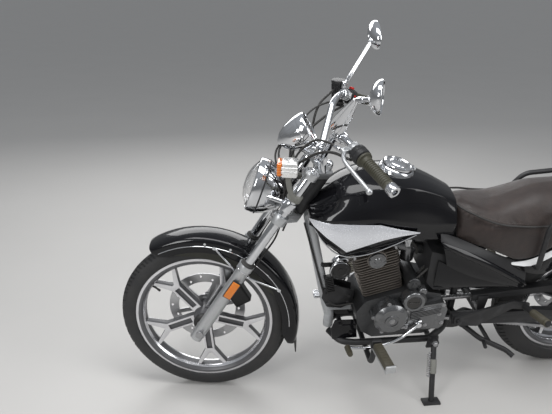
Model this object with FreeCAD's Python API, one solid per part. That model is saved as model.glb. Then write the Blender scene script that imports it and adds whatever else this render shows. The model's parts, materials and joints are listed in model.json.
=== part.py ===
import FreeCAD, Part
import math
import os
from FreeCAD import Matrix, Placement, Rotation, Vector

# Cruiser motorcycle parked on its side stand, in millimetres.
# Every piece is drawn on an upright machine: x forward from the rear axle,
# y to the machine's left, z up from the ground. The steered pieces are then
# turned about the raked steering axis, and the whole leans onto its stand.

# Stance
wheelbase = 1385.0
rake_deg = 30.0
fork_offset = 50.0
steer_deg = -12.0
lean_deg = 11.0

# Tyres and rims
front_seat_r = 229.0
front_tyre_h = 69.0
front_tyre_r = front_seat_r + front_tyre_h
front_tyre_half = 37.0
front_rim_r = front_seat_r + 13.5
front_rim_half = 32.0
rear_seat_r = 203.0
rear_tyre_h = 99.0
rear_tyre_r = rear_seat_r + rear_tyre_h
rear_tyre_half = 55.0
rear_rim_r = rear_seat_r + 14.5
rear_rim_half = 46.0
flange_t = 4.0
bead_gap = 0.4
rim_depth = 15.0
spoke_count = 5
front_spoke_phase_deg = 47.0
rear_spoke_phase_deg = 20.0

# Hubs, axles and brakes
hub_r = 34.0
front_hub_half = 46.0
rear_hub_half = 52.0
axle_r = 7.5
axle_gap = 0.1
disc_t = 4.5
front_disc_r = 138.0
rear_disc_r = 110.0
disc_hole_r = 4.5
caliper_turn_deg = 148.0
front_disc_y = -50.0
rear_disc_y = -62.0
sprocket_y = 66.0
rear_sprocket_r = 92.0
front_sprocket_r = 31.0
rear_teeth = 41
front_teeth = 15
tooth_h = 5.0
front_sprocket_at = (590.0, 340.0)
chain_room_half = 13.0

# Fork and steering
fork_half = 100.0
fork_tube_r = 16.5
fork_lower_r = 22.0
fork_lower_len = 318.0
fork_tube_top = 700.0
tube_sink = 60.0
yoke_low_s = 496.0
yoke_low_t = 32.0
yoke_top_s = 678.0
yoke_top_t = 24.0
yoke_front = 34.0
yoke_back = 22.0
yoke_back_half = 20.0
turn_gap = 7.5
stem_r = 14.0
head_tube_r = 27.0
fit_gap = 0.3
bore_gap = 0.1
seat_gap = 0.3

# Handlebar
bar_r = 11.1
riser_y = 45.0
clamp_r = 20.0
clamp_point = (1010.0, 45.0, 926.0)
sweep_point = (976.0, 168.0, 1050.0)
bend_point = (952.0, 241.0, 1060.0)
grip_end = (843.0, 404.0, 996.0)
grip_r = 16.0
grip_len = 118.0
pod_len = 36.0
perch_len = 20.0
perch_r = 19.0
master_len = 54.0
mirror_stem_r = 5.5

# Lamps and clock
lamp_centre = (1222.0, 0.0, 814.0)
lamp_tilt_deg = 17.0
lamp_half_w = 82.0
lamp_half_h = 92.0
lamp_dome = 30.0
lamp_ring_t = 30.0
lamp_shell_len = 112.0
lamp_ear_s = 548.0
clock_centre = (1050.0, 0.0, 1010.0)
clock_tilt_deg = 30.0
clock_r = 55.0
clock_len = 108.0
signal_centre = (1110.0, 138.0, 930.0)
signal_size = (62.0, 62.0, 46.0)
signal_clamp_s = 590.0

# Fenders
fender_gap = 38.0
fender_half = 54.0
fender_t = 2.5
fender_front_deg = 59.0
fender_rear_deg = 196.0
fender_skirt = 42.0
rear_fender_gap = 40.0
rear_fender_half = 70.0
rear_fender_front_deg = 62.0
rear_fender_rear_deg = 172.0
lamp_turn_deg = 140.0

# Frame
main_tube_r = 17.0
side_tube_r = 12.5
seat_rail_r = 11.5
cradle_half = 82.0
cradle_z = 205.0
rail_half = 92.0
rail_mid = (60.0, 92.0, rear_tyre_r + 338.0)
rail_rear = (-150.0, 70.0, rear_tyre_r + 388.0)
rail_brace_x = -100.0
rail_brace_r = 9.0
pivot_point = (492.0, 0.0, 318.0)
pivot_tube_half = 43.0
pivot_bolt_half = 138.0
pivot_r = 8.0
down_tube_r = 18.0
spine_r = 20.0
spine_knee = (820.0, 0.0, 730.0)
spine_end = (590.0, 0.0, 655.0)

# Engine
crank_point = (742.0, 0.0, 346.0)
case_half = 88.0
cylinder_tilt_deg = 16.0
cylinder_base_s = 74.0
cylinder_len = 118.0
cylinder_half = 68.0
head_len = 92.0
fin_count = 10
fin_t = 3.0
fin_pitch = 11.0
head_fin_count = 6
inlet_s = 218.0
intake_len = 98.0
airbox_half = 98.0
port_s = 214.0

# Swingarm, shocks and chain
arm_half = 106.0
arm_w = 24.0
arm_h = 44.0
shock_low = (32.0, 146.0, 352.0)
shock_top = (138.0, 144.0, 640.0)
shock_body_r = 17.0
spring_r = 26.0
spring_wire_r = 4.5
spring_turns = 8
spring_foot = 32.0
spring_head = 34.0
chain_h = 13.0
chain_gap = 1.0
chain_w = 15.0
chain_waist = 3.0
link_pitch = 12.7

# Stands
side_pivot = (566.0, 118.0, 226.0)
stand_eye_t = 16.0
stand_pin_r = 6.0
centre_sleeve_half = 44.0
side_foot_x = 588.0
side_foot_out = 244.0
centre_pivot = (462.0, 0.0, 236.0)
centre_leg_half = 84.0
centre_leg_len = 226.0
centre_fold_deg = 26.0


def vec(point):
    return Vector(*point)


def mirrored(shape):
    return shape.mirror(Vector(0, 0, 0), Vector(0, 1, 0))


def both_sides(shape):
    return Part.makeCompound([shape, mirrored(shape)])


def rod(p1, p2, r):
    a = vec(p1)
    d = vec(p2) - a
    return Part.makeCylinder(r, d.Length, a, d)


def cone(p1, p2, r1, r2):
    a = vec(p1)
    d = vec(p2) - a
    return Part.makeCone(r1, r2, d.Length, a, d)


def plate(points, y0, y1):
    # closed outline of (x, z) points, extruded across from y0 to y1
    line = [Vector(x, y0, z) for x, z in points]
    face = Part.Face(Part.makePolygon(line + [line[0]]))
    return face.extrude(Vector(0, y1 - y0, 0))


def ring(r_out, r_in, y0, y1):
    # flat ring about the y axis
    outer = Part.makeCylinder(r_out, y1 - y0, Vector(0, y0, 0), Vector(0, 1, 0))
    inner = Part.makeCylinder(r_in, y1 - y0, Vector(0, y0, 0), Vector(0, 1, 0))
    return outer.cut(inner)


def turned(profile):
    # closed profile of (radius, y) points turned about the y axis
    line = [Vector(r, y, 0) for r, y in profile]
    face = Part.Face(Part.makePolygon(line + [line[0]]))
    return face.revolve(Vector(0, 0, 0), Vector(0, 1, 0), 360)


def tube(points, r, radius):
    # round bar along straight runs joined by tangent arcs
    pts = [vec(p) for p in points]
    pieces = []
    start = pts[0]
    for i in range(1, len(pts) - 1):
        before = Vector(pts[i] - pts[i - 1])
        after = Vector(pts[i + 1] - pts[i])
        turn = before.getAngle(after)
        room = 0.45 * min(before.Length, after.Length)
        bend_r = min(radius, room / math.tan(turn / 2.0))
        back = bend_r * math.tan(turn / 2.0)
        u = Vector(before).normalize()
        w = Vector(after).normalize()
        a = pts[i] - u * back
        hub = a + (w - u * u.dot(w)).normalize() * bend_r
        pieces.append(Part.makeCylinder(r, (a - start).Length, start, u))
        disc = Part.Face(Part.Wire(Part.makeCircle(r, a, u)))
        pieces.append(disc.revolve(hub, u.cross(w), math.degrees(turn)))
        start = pts[i] + w * back
    end = pts[-1]
    pieces.append(Part.makeCylinder(r, (end - start).Length, start, end - start))
    return pieces[0].multiFuse(pieces[1:]) if len(pieces) > 1 else pieces[0]


def fused(shapes):
    first = shapes[0]
    return first.multiFuse(shapes[1:]) if len(shapes) > 1 else first


def slice_wire(x, half):
    # section across the machine: an arc over the top, then straight runs down to the hem
    top = Vector(x, 0, half[0][1])
    right = [Vector(x, y, z) for y, z in half[1:]]
    left = [Vector(x, -y, z) for y, z in half[1:]]
    edges = [Part.Arc(left[0], top, right[0]).toShape()]
    for a, b in zip(right[:-1], right[1:]):
        edges.append(Part.LineSegment(a, b).toShape())
    edges.append(Part.LineSegment(right[-1], left[-1]).toShape())
    for a, b in zip(reversed(left[1:]), reversed(left[:-1])):
        edges.append(Part.LineSegment(a, b).toShape())
    return Part.Wire(edges)


def loft(wires):
    return Part.makeLoft(wires, True, True)


def panel(rails, wall):
    # moulded panel through rails of (x, y, z) points, its inner face a wall nearer the middle
    outer = [[vec(p) for p in rail] for rail in rails]
    inner = [[p - Vector(0, wall, 0) for p in rail] for rail in outer]
    rows = len(rails)
    steps = len(rails[0])
    faces = []

    def quad(a, b, c, d):
        for three in ((a, b, c), (a, c, d)):
            faces.append(Part.Face(Part.makePolygon([*three, three[0]])))

    for i in range(rows - 1):
        for j in range(steps - 1):
            quad(outer[i][j], outer[i][j + 1], outer[i + 1][j + 1], outer[i + 1][j])
            quad(inner[i][j], inner[i + 1][j], inner[i + 1][j + 1], inner[i][j + 1])
    border = [(0, j) for j in range(steps)] + [(i, steps - 1) for i in range(1, rows)]
    border += [(rows - 1, j) for j in range(steps - 2, -1, -1)] + [(i, 0) for i in range(rows - 2, 0, -1)]
    for (i, j), (k, m) in zip(border, border[1:] + border[:1]):
        quad(outer[i][j], inner[i][j], inner[k][m], outer[k][m])
    solid = Part.makeSolid(Part.makeShell(faces))
    if solid.Volume < 0:
        solid.reverse()
    return solid


def toothed(root_r, tip_r, count, y0, y1):
    # sprocket disc with one flat-topped tooth in each step
    step = 2 * math.pi / count
    points = []
    for i in range(count):
        for share, r in ((-0.36, root_r), (-0.14, tip_r), (0.14, tip_r), (0.36, root_r)):
            turn = (i + share) * step
            points.append((r * math.cos(turn), r * math.sin(turn)))
    return plate(points, y0, y1)


# Steering geometry
rake = math.radians(rake_deg)
steer_axis = Vector(-math.sin(rake), 0, math.cos(rake))
steer_ahead = Vector(math.cos(rake), 0, math.sin(rake))
front_axle = Vector(wheelbase, 0, front_tyre_r)
rear_axle = Vector(0, 0, rear_tyre_r)
head_low_s = yoke_low_s + yoke_low_t + seat_gap
head_top_s = yoke_top_s - seat_gap
steer_base = front_axle - steer_ahead * fork_offset


def on_stem(s, y=0.0, ahead=0.0):
    # s runs up the steering axis, ahead is square to it
    return steer_base + steer_axis * s + steer_ahead * ahead + Vector(0, y, 0)


def on_leg(s, y, ahead=0.0):
    return on_stem(s, y, fork_offset + ahead)


# The machine on its stand
def low_point(centre, across, tyre_r, tyre_half):
    drop = (tyre_r - tyre_half) * math.sqrt(1 - across.z ** 2) + tyre_half
    return centre.z - drop


def stance():
    steer = Placement(Vector(), Rotation(steer_axis, steer_deg), steer_base)
    lean = Placement(Vector(), Rotation(Vector(1, 0, 0), -lean_deg))
    across = Vector(0, 1, 0)
    front_c = lean.multVec(steer.multVec(front_axle))
    rear_c = lean.multVec(rear_axle)
    front_n = lean.Rotation.multVec(steer.Rotation.multVec(across))
    rear_n = lean.Rotation.multVec(across)
    front_low = low_point(front_c, front_n, front_tyre_r, front_tyre_half)
    rear_low = low_point(rear_c, rear_n, rear_tyre_r, rear_tyre_half)
    nose = math.degrees(math.atan2(front_low - rear_low, front_c.x - rear_c.x))
    pitch = Placement(Vector(), Rotation(Vector(0, 1, 0), nose))
    upright = pitch.multiply(lean)
    centre = upright.multVec(rear_axle)
    normal = upright.Rotation.multVec(across)
    rise = -low_point(centre, normal, rear_tyre_r, rear_tyre_half)
    return Placement(Vector(0, 0, rise), Rotation()).multiply(upright), steer


body_place, steer_place = stance()
fork_place = body_place.multiply(steer_place)


# Wheels
def tyre(tyre_r, tyre_half, rim_r, seat_r, rim_half):
    crown = tyre_r - tyre_half
    bead = rim_half - flange_t - bead_gap
    lip = rim_r + bead_gap
    outline = [
        (crown, tyre_half), (lip, rim_half + 1.5), (lip, bead), (seat_r + bead_gap, bead),
        (seat_r + bead_gap, -bead), (lip, -bead), (lip, -rim_half - 1.5), (crown, -tyre_half),
    ]
    pts = [Vector(r, y, 0) for r, y in outline]
    edges = [Part.LineSegment(a, b).toShape() for a, b in zip(pts[:-1], pts[1:])]
    edges.append(Part.Arc(pts[-1], Vector(tyre_r, 0, 0), pts[0]).toShape())
    face = Part.Face(Part.Wire(edges))
    return face.revolve(Vector(0, 0, 0), Vector(0, 1, 0), 360)


def rim(rim_r, seat_r, rim_half):
    inner = rim_half - flange_t
    well = seat_r - rim_depth
    return turned([
        (rim_r, rim_half), (rim_r, inner), (seat_r, inner), (seat_r, -inner),
        (rim_r, -inner), (rim_r, -rim_half), (seat_r - 3, -rim_half),
        (well, -rim_half * 0.55), (well, rim_half * 0.55), (seat_r - 3, rim_half),
    ])


def spoke(rim_in, half_w, depth):
    # one forked spoke along +x, drawn in the wheel plane
    stem_half = 17.0
    fork_at = rim_in * 0.68
    spread = rim_in * math.sin(math.radians(13.6))
    tip = rim_in * math.cos(math.radians(13.6)) + 4.0
    root = hub_r - 5.0
    arm = 13.0
    crotch = fork_at + 16.0
    outline = [
        (root, stem_half), (fork_at, stem_half), (tip, spread + arm * 0.5),
        (tip, spread - arm * 0.5), (crotch, arm * 0.28), (crotch, -arm * 0.28),
        (tip, -spread + arm * 0.5), (tip, -spread - arm * 0.5), (fork_at, -stem_half),
        (root, -stem_half),
    ]
    body = plate(outline, -depth, depth)
    slot = [
        (root + 22.0, stem_half - 7.0), (fork_at - 4.0, stem_half - 7.0),
        (fork_at - 4.0, -stem_half + 7.0), (root + 22.0, -stem_half + 7.0),
    ]
    recess = plate(slot, depth * 0.45, depth + 1.0)
    recess_far = plate(slot, -depth - 1.0, -depth * 0.45)
    return body.cut(recess).cut(recess_far)


def cast_wheel(rim_r, seat_r, rim_half, hub_half, phase_deg, depth):
    rim_in = seat_r - rim_depth
    pieces = [rim(rim_r, seat_r, rim_half)]
    barrel = ring(hub_r, axle_r + axle_gap, -hub_half, hub_half)
    pieces.append(barrel)
    for i in range(spoke_count):
        arm = spoke(rim_in, rim_half, depth)
        arm.rotate(Vector(), Vector(0, 1, 0), -(phase_deg + i * 360.0 / spoke_count))
        pieces.append(arm)
    bore = Part.makeCylinder(axle_r + axle_gap, 2 * hub_half, Vector(0, -hub_half, 0), Vector(0, 1, 0))
    return fused(pieces).cut(bore)


def brake_disc(disc_r, y, hub_side):
    band = ring(disc_r, disc_r - 34.0, y - disc_t / 2, y + disc_t / 2)
    inner = ring(hub_r + 18.0, hub_r - 8.0, y - disc_t / 2, y + disc_t / 2)
    pieces = [band, inner]
    for i in range(6):
        arm = Part.makeBox(disc_r - 34.0 - hub_r - 6.0, disc_t, 16.0)
        arm.translate(Vector(hub_r + 12.0, y - disc_t / 2, -8.0))
        arm.rotate(Vector(), Vector(0, 1, 0), i * 60.0 + 15.0)
        pieces.append(arm)
    seat = ring(hub_r - 8.0 + 14.0, hub_r - 8.0, min(y, hub_side), max(y, hub_side))
    pieces.append(seat)
    disc = fused(pieces)
    holes = []
    for i in range(18):
        turn = math.radians(i * 20.0)
        r = disc_r - 11.0 - 12.0 * (i % 2)
        start = Vector(r * math.cos(turn), y - disc_t, r * math.sin(turn))
        holes.append(Part.makeCylinder(disc_hole_r, 2 * disc_t, start, Vector(0, 1, 0)))
    return disc.cut(Part.makeCompound(holes))


def at_axle(shape, axle):
    shape.translate(axle)
    return shape


# Fork
def yoke_plate(s, t):
    # kite between the stem and the legs, drawn square to the steering axis
    outline = [(-yoke_back, yoke_back_half), (30.0, fork_half - 12.0), (60.0, fork_half - 12.0), (yoke_front, 40.0),
               (yoke_front, -40.0), (60.0, -fork_half + 12.0), (30.0, -fork_half + 12.0), (-yoke_back, -yoke_back_half)]
    line = [Vector(ahead, y, 0) for ahead, y in outline]
    slab = Part.Face(Part.makePolygon(line + [line[0]])).extrude(Vector(0, 0, t))
    slab.Placement = Placement(on_stem(s), Rotation(Vector(0, 1, 0), -rake_deg))
    return slab


def steering_yokes():
    pieces = []
    for s, t in ((yoke_low_s, yoke_low_t), (yoke_top_s, yoke_top_t)):
        pieces.append(yoke_plate(s, t))
        pieces.append(Part.makeCylinder(head_tube_r, t, on_stem(s), steer_axis))
        for side in (-1, 1):
            pieces.append(Part.makeCylinder(fork_tube_r + 9.0, t, on_leg(s, side * fork_half), steer_axis))
    pieces.append(Part.makeCylinder(stem_r, yoke_top_s - yoke_low_s, on_stem(yoke_low_s), steer_axis))
    pieces.append(Part.makeCylinder(17.0, 14.0, on_stem(yoke_top_s + yoke_top_t), steer_axis))
    body = fused(pieces)
    bores = []
    for side in (-1, 1):
        foot = on_leg(yoke_low_s - 50.0, side * fork_half)
        bores.append(Part.makeCylinder(fork_tube_r + bore_gap, 400.0, foot, steer_axis))
    return body.cut(Part.makeCompound(bores))


def fork_tubes():
    low = fork_lower_len - tube_sink
    left = Part.makeCylinder(fork_tube_r, fork_tube_top - low, on_leg(low, fork_half), steer_axis)
    cap = Part.makeCylinder(fork_tube_r - 3.0, 8.0, on_leg(fork_tube_top, fork_half), steer_axis)
    return both_sides(left.fuse(cap))


def fork_lowers():
    pieces = []
    pieces.append(Part.makeCylinder(fork_lower_r, fork_lower_len + 34.0, on_leg(-34.0, fork_half), steer_axis))
    pieces.append(Part.makeCylinder(fork_lower_r + 4.0, 26.0, on_leg(fork_lower_len - 30.0, fork_half), steer_axis))
    pieces.append(Part.makeCylinder(19.0, 26.0, front_axle + Vector(0, fork_half - 30.0, 0), Vector(0, 1, 0)))
    lower = fused(pieces)
    foot = on_leg(fork_lower_len - tube_sink - seat_gap, fork_half)
    lower = lower.cut(Part.makeCylinder(fork_tube_r + bore_gap, 2 * tube_sink, foot, steer_axis))
    bore = Part.makeCylinder(axle_r + bore_gap, 2 * fork_half, front_axle, Vector(0, 1, 0))
    lower = lower.cut(bore)
    return both_sides(lower)


def front_axle_rod():
    length = 2 * fork_half + 2 * fork_lower_r + 10.0
    rod_shape = Part.makeCylinder(axle_r, length, front_axle - Vector(0, length / 2, 0), Vector(0, 1, 0))
    head = Part.makeCylinder(13.0, 9.0, front_axle + Vector(0, length / 2 - 4.0, 0), Vector(0, 1, 0))
    nut = Part.makeCylinder(12.0, 9.0, front_axle + Vector(0, -length / 2 - 5.0, 0), Vector(0, 1, 0))
    return fused([rod_shape, head, nut])


def front_reflectors():
    outer = fork_half + fork_lower_r
    block = Part.makeBox(30.0, 9.0, 74.0, Vector(-15.0, 0, 0))
    block.Placement = Placement(on_leg(178.0, outer + seat_gap, -2.0), Rotation(Vector(0, 1, 0), -rake_deg))
    return both_sides(block)


def above_yoke(shape):
    # trims what stands on the upper yoke to its top face
    block = Part.makeBox(400.0, 400.0, 200.0, Vector(-200.0, -200.0, -200.0))
    block.Placement = Placement(on_stem(yoke_top_s + yoke_top_t + seat_gap), Rotation(Vector(0, 1, 0), -rake_deg))
    return shape.cut(block)


def handlebar():
    outer = [clamp_point, sweep_point, bend_point, grip_end]
    inner = [(p[0], -p[1], p[2]) for p in outer]
    pieces = [tube(inner[::-1] + outer, bar_r, 60.0)]
    for side in (-1, 1):
        foot = on_stem(yoke_top_s, side * riser_y)
        top = Vector(clamp_point[0], side * riser_y, clamp_point[2])
        pieces.append(rod(foot, top, 15.0))
        pieces.append(Part.makeCylinder(clamp_r, 26.0, top + Vector(0, -13.0, 0), Vector(0, 1, 0)))
    return above_yoke(fused(pieces))


def grip_line():
    # unit vector along the left grip, from the bend outwards
    a = vec(bend_point)
    b = vec(grip_end)
    return (b - a).normalize()


def on_grip(back):
    return vec(grip_end) - grip_line() * back


def sleeve(start, end, r_out, r_in):
    d = end - start
    outer = Part.makeCylinder(r_out, d.Length, start, d)
    inner = Part.makeCylinder(r_in, d.Length, start, d)
    return outer.cut(inner)


def grips():
    inner_r = bar_r + bore_gap
    body = sleeve(on_grip(grip_len), on_grip(0), grip_r, inner_r)
    flange = sleeve(on_grip(grip_len), on_grip(grip_len - 6.0), grip_r + 7.0, inner_r)
    return both_sides(body.fuse(flange))


def bar_ends():
    left = rod(on_grip(-seat_gap), on_grip(-26.0), 17.0)
    return both_sides(left)


def lever_way():
    # square to the grip, forwards and level
    return Vector(0, 0, 1).cross(grip_line()) * -1.0


def hand_controls():
    inner_r = bar_r + bore_gap
    way = lever_way()
    pod_end = grip_len + pod_len
    pod = sleeve(on_grip(pod_end), on_grip(grip_len + seat_gap), 25.0, inner_r)
    perch = sleeve(on_grip(pod_end + perch_len), on_grip(pod_end), perch_r, inner_r)
    pivot = on_grip(pod_end + 0.5 * perch_len) + way * 36.0
    arm = rod(on_grip(pod_end + 0.5 * perch_len) + way * 15.0, pivot, 8.5)
    elbow = on_grip(pod_end - 24.0) + way * 58.0
    tip = on_grip(6.0) + way * 60.0 - Vector(0, 0, 6.0)
    blade = tube([tuple(pivot), tuple(elbow), tuple(tip)], 6.0, 60.0)
    ball = Part.makeSphere(9.0, tip)
    left = fused([pod, perch, arm, blade, ball])
    right = mirrored(fused([left, master_cylinder()]).cut(rod(on_grip(0.0), on_grip(260.0), inner_r)))
    return Part.makeCompound([left, right])


def master_cylinder():
    # drawn at the left perch, used on the right; its inboard face takes the brake hose
    way = lever_way().normalize()
    inboard = grip_line() * -1.0
    body = Part.makeBox(master_len, 30.0, 30.0)
    body = body.makeFillet(4.0, body.Edges)
    start = on_grip(hose_seat() - master_len) + way * 20.0
    up = inboard.cross(way)
    body.Placement = Placement(start - up * 8.0, Rotation(inboard, way, up, "XYZ"))
    return body


def hose_seat():
    # how far along the grip's line the master cylinder reaches
    return grip_len + pod_len + 0.5 * perch_len + 30.0


# one row for each mirror: side, head centre (x, y, z)
mirror_heads = (
    (1, 882.0, 388.0, 1222.0),
    (-1, 830.0, 396.0, 1234.0),
)


def mirrors():
    made = []
    slope = math.asin(abs(grip_line().z))
    rise = perch_r / math.cos(slope) + mirror_stem_r * math.tan(slope) + seat_gap
    for side, x, y, z in mirror_heads:
        seat = on_grip(grip_len + pod_len + 0.5 * perch_len)
        foot = Vector(seat.x, side * seat.y, seat.z + rise)
        back = Vector(x + 18.0, side * (y - 34.0), z - 16.0)
        knee = foot + Vector(0, 0, 40.0)
        stem = tube([tuple(foot), tuple(knee), tuple(back)], mirror_stem_r, 30.0)
        wires = []
        for at, k in ((0.0, 1.0), (8.0, 1.0), (20.0, 0.86), (30.0, 0.45)):
            wires.append(Part.Wire(Part.Ellipse(Vector(0, 0, at), 64.0 * k, 44.0 * k).toShape()))
        head = loft(wires)
        turn = Rotation(Vector(0, 1, 0), 90.0)
        tip = Rotation(Vector(1, 0, 0), side * 20.0)
        spin = Rotation(Vector(0, 0, 1), side * -10.0)
        flat = Rotation(Vector(0, 0, 1), 90.0)
        head.Placement = Placement(Vector(x, side * y, z), spin.multiply(tip).multiply(turn).multiply(flat))
        made.append(stem.fuse(head))
    return Part.makeCompound(made)


def lamp_place():
    turn = Rotation(Vector(0, 1, 0), 90.0 - lamp_tilt_deg)
    return Placement(vec(lamp_centre), turn)


def oval(half_w, half_h, at):
    # oval in the plane z = at, its height along -x after the lamp is stood up
    return Part.Wire(Part.Ellipse(Vector(0, 0, at), half_h, half_w).toShape())


def headlight_shell():
    stations = ((0.0, 1.0), (-lamp_ring_t, 1.0), (-58.0, 0.9), (-92.0, 0.68), (-lamp_shell_len, 0.34))
    shell = loft([oval(lamp_half_w * k, lamp_half_h * k, at) for at, k in stations])
    rebate = [oval(lamp_half_w - 7.0, lamp_half_h - 7.0, at) for at in (0.5, -8.0)]
    shell = shell.cut(loft(rebate + [oval(40.0, 45.0, -58.0)]))
    shell.Placement = lamp_place()
    # ears carry it on the fork tubes
    ears = []
    for side in (-1, 1):
        tube_at = on_leg(lamp_ear_s, side * fork_half)
        collar = sleeve(tube_at, on_leg(lamp_ear_s + 34.0, side * fork_half), fork_tube_r + 5.0,
                        fork_tube_r + bore_gap)
        ear_out = on_leg(lamp_ear_s + 17.0, side * (fork_half - 6.0), fork_tube_r)
        ear_in = Vector(lamp_centre[0] - 52.0, side * (lamp_half_w - 12.0), lamp_centre[2] - 14.0)
        bore = Part.makeCylinder(fork_tube_r + bore_gap, 120.0, on_leg(lamp_ear_s - 40.0, side * fork_half),
                                 steer_axis)
        ears.append(collar.fuse(rod(ear_out, ear_in, 8.0)).cut(bore))
    return fused([shell] + ears)


def headlight_lens():
    rim_wire = [oval(lamp_half_w - 7.6, lamp_half_h - 7.6, -6.0), oval(lamp_half_w - 7.6, lamp_half_h - 7.6, 3.0)]
    wires = rim_wire + [oval(56.0, 64.0, lamp_dome * 0.72), oval(20.0, 24.0, lamp_dome)]
    lens = loft(wires)
    lens.Placement = lamp_place()
    return lens


def front_signals():
    cx, cy, cz = signal_centre
    sx, sy, sz = signal_size
    low = on_leg(signal_clamp_s, fork_half)
    high = on_leg(signal_clamp_s + 24.0, fork_half)
    collar = sleeve(low, high, fork_tube_r + 7.0, fork_tube_r + bore_gap)
    root = on_leg(signal_clamp_s + 12.0, fork_half + fork_tube_r + 3.0)
    arm = rod(root, (cx, cy, cz - sz / 2 + 3.0), 8.0)
    bore = Part.makeCylinder(fork_tube_r + bore_gap, 120.0, on_leg(signal_clamp_s - 40.0, fork_half), steer_axis)
    body = Part.makeBox(sx, sy, sz, Vector(cx - sx / 2, cy - sy / 2, cz - sz / 2))
    body = body.makeFillet(9.0, body.Edges)
    left = fused([collar, arm, body]).cut(bore)
    return both_sides(left)


def instrument():
    turn = Rotation(Vector(0, 1, 0), -(90.0 - clock_tilt_deg))
    wires = []
    for at, k in ((0.0, 1.0), (-30.0, 1.0), (-66.0, 0.82), (-92.0, 0.55), (-clock_len, 0.2)):
        wires.append(Part.Wire(Part.makeCircle(clock_r * k, Vector(0, 0, at))))
    cup = loft(wires)
    cup = cup.cut(Part.makeCylinder(clock_r - 4.0, 5.0, Vector(0, 0, -4.0)))
    cup.Placement = Placement(vec(clock_centre), turn)
    # two stays from the bar's clamps
    stays = [rod((clamp_point[0], side * 36.0, clamp_point[2]), (1098.0, side * 18.0, 958.0), 6.5) for side in (-1, 1)]
    clamp_room = rod((clamp_point[0], -70.0, clamp_point[2]), (clamp_point[0], 70.0, clamp_point[2]),
                     clamp_r + seat_gap)
    return fused([cup] + [stay.cut(clamp_room) for stay in stays])


def front_fender():
    inner_r = front_tyre_r + fender_gap
    shell = sweep_section(fender_section(inner_r, fender_half, fender_skirt), fender_front_deg, fender_rear_deg)
    flap = Part.makeBox(4.0, 2 * fender_half - 16.0, 92.0, Vector(-3.0, -fender_half + 8.0, -92.0))
    flap.rotate(Vector(), Vector(0, 1, 0), 8.0)
    end = math.radians(fender_rear_deg - 2.0)
    flap.translate(Vector((inner_r - 2.0) * math.cos(end), 0, (inner_r - 2.0) * math.sin(end)))
    pieces = [shell, flap]
    # stays run down the outside of the skirts to each fork leg
    edge_r = inner_r - fender_skirt + 10.0
    for side in (-1, 1):
        for turn in (98.0, 150.0):
            a = math.radians(turn)
            edge = Vector(edge_r * math.cos(a), side * (fender_half + 2.0), edge_r * math.sin(a))
            leg = on_leg(250.0, side * (fork_half - fork_lower_r - seat_gap - 4.0)) - front_axle
            pieces.append(rod(edge, leg, 4.0))
        leg = on_leg(250.0, side * (fork_half - fork_lower_r - seat_gap - 8.0)) - front_axle
        pieces.append(Part.makeCylinder(13.0, 8.0, leg, Vector(0, side, 0)))
    return at_axle(fused(pieces), front_axle)


def fender_section(inner_r, half, skirt):
    # channel with a crowned top, as (radius, y) in the plane of the axle
    edge = inner_r - skirt
    t = fender_t
    pts = [
        Vector(edge, -half, 0), Vector(inner_r - 14.0, -half, 0), Vector(inner_r, 0, 0),
        Vector(inner_r - 14.0, half, 0), Vector(edge, half, 0), Vector(edge, half + t, 0),
        Vector(inner_r - 13.0, half + t, 0), Vector(inner_r + t, 0, 0),
        Vector(inner_r - 13.0, -half - t, 0), Vector(edge, -half - t, 0),
    ]
    edges = [
        Part.LineSegment(pts[0], pts[1]).toShape(), Part.Arc(pts[1], pts[2], pts[3]).toShape(),
        Part.LineSegment(pts[3], pts[4]).toShape(), Part.LineSegment(pts[4], pts[5]).toShape(),
        Part.LineSegment(pts[5], pts[6]).toShape(), Part.Arc(pts[6], pts[7], pts[8]).toShape(),
        Part.LineSegment(pts[8], pts[9]).toShape(), Part.LineSegment(pts[9], pts[0]).toShape(),
    ]
    return Part.Face(Part.Wire(edges))


def sweep_section(face, start_deg, end_deg):
    shape = face.revolve(Vector(0, 0, 0), Vector(0, -1, 0), end_deg - start_deg)
    shape.rotate(Vector(), Vector(0, -1, 0), start_deg)
    return shape


def caliper_place():
    turn = math.radians(caliper_turn_deg)
    r = front_disc_r - 10.0
    centre = front_axle + Vector(r * math.cos(turn), front_disc_y, r * math.sin(turn))
    return Placement(centre, Rotation(Vector(0, 1, 0), 180.0 - caliper_turn_deg))


def caliper_top(rise):
    return caliper_place().multVec(Vector(-26.0, 0, 48.0 + rise))


def front_caliper():
    box = Part.makeBox(64.0, 44.0, 96.0, Vector(-34.0, -22.0, -48.0))
    box = box.makeFillet(8.0, box.Edges)
    half_gap = disc_t / 2 + 5.0
    box = box.cut(Part.makeBox(60.0, 2 * half_gap, 120.0, Vector(-17.0, -half_gap, -60.0)))
    box.Placement = caliper_place()
    # ear bolted to the back of the right fork leg
    ear = plate([(1330.0, 372.0), (1300.0, 356.0), (1262.0, 398.0), (1280.0, 424.0)],
                -fork_half + 8.0, front_disc_y - half_gap - 6.0)
    leg_room = Part.makeCylinder(fork_lower_r + seat_gap, 500.0, on_leg(-60.0, -fork_half), steer_axis)
    return box.fuse(ear).cut(leg_room)


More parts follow.
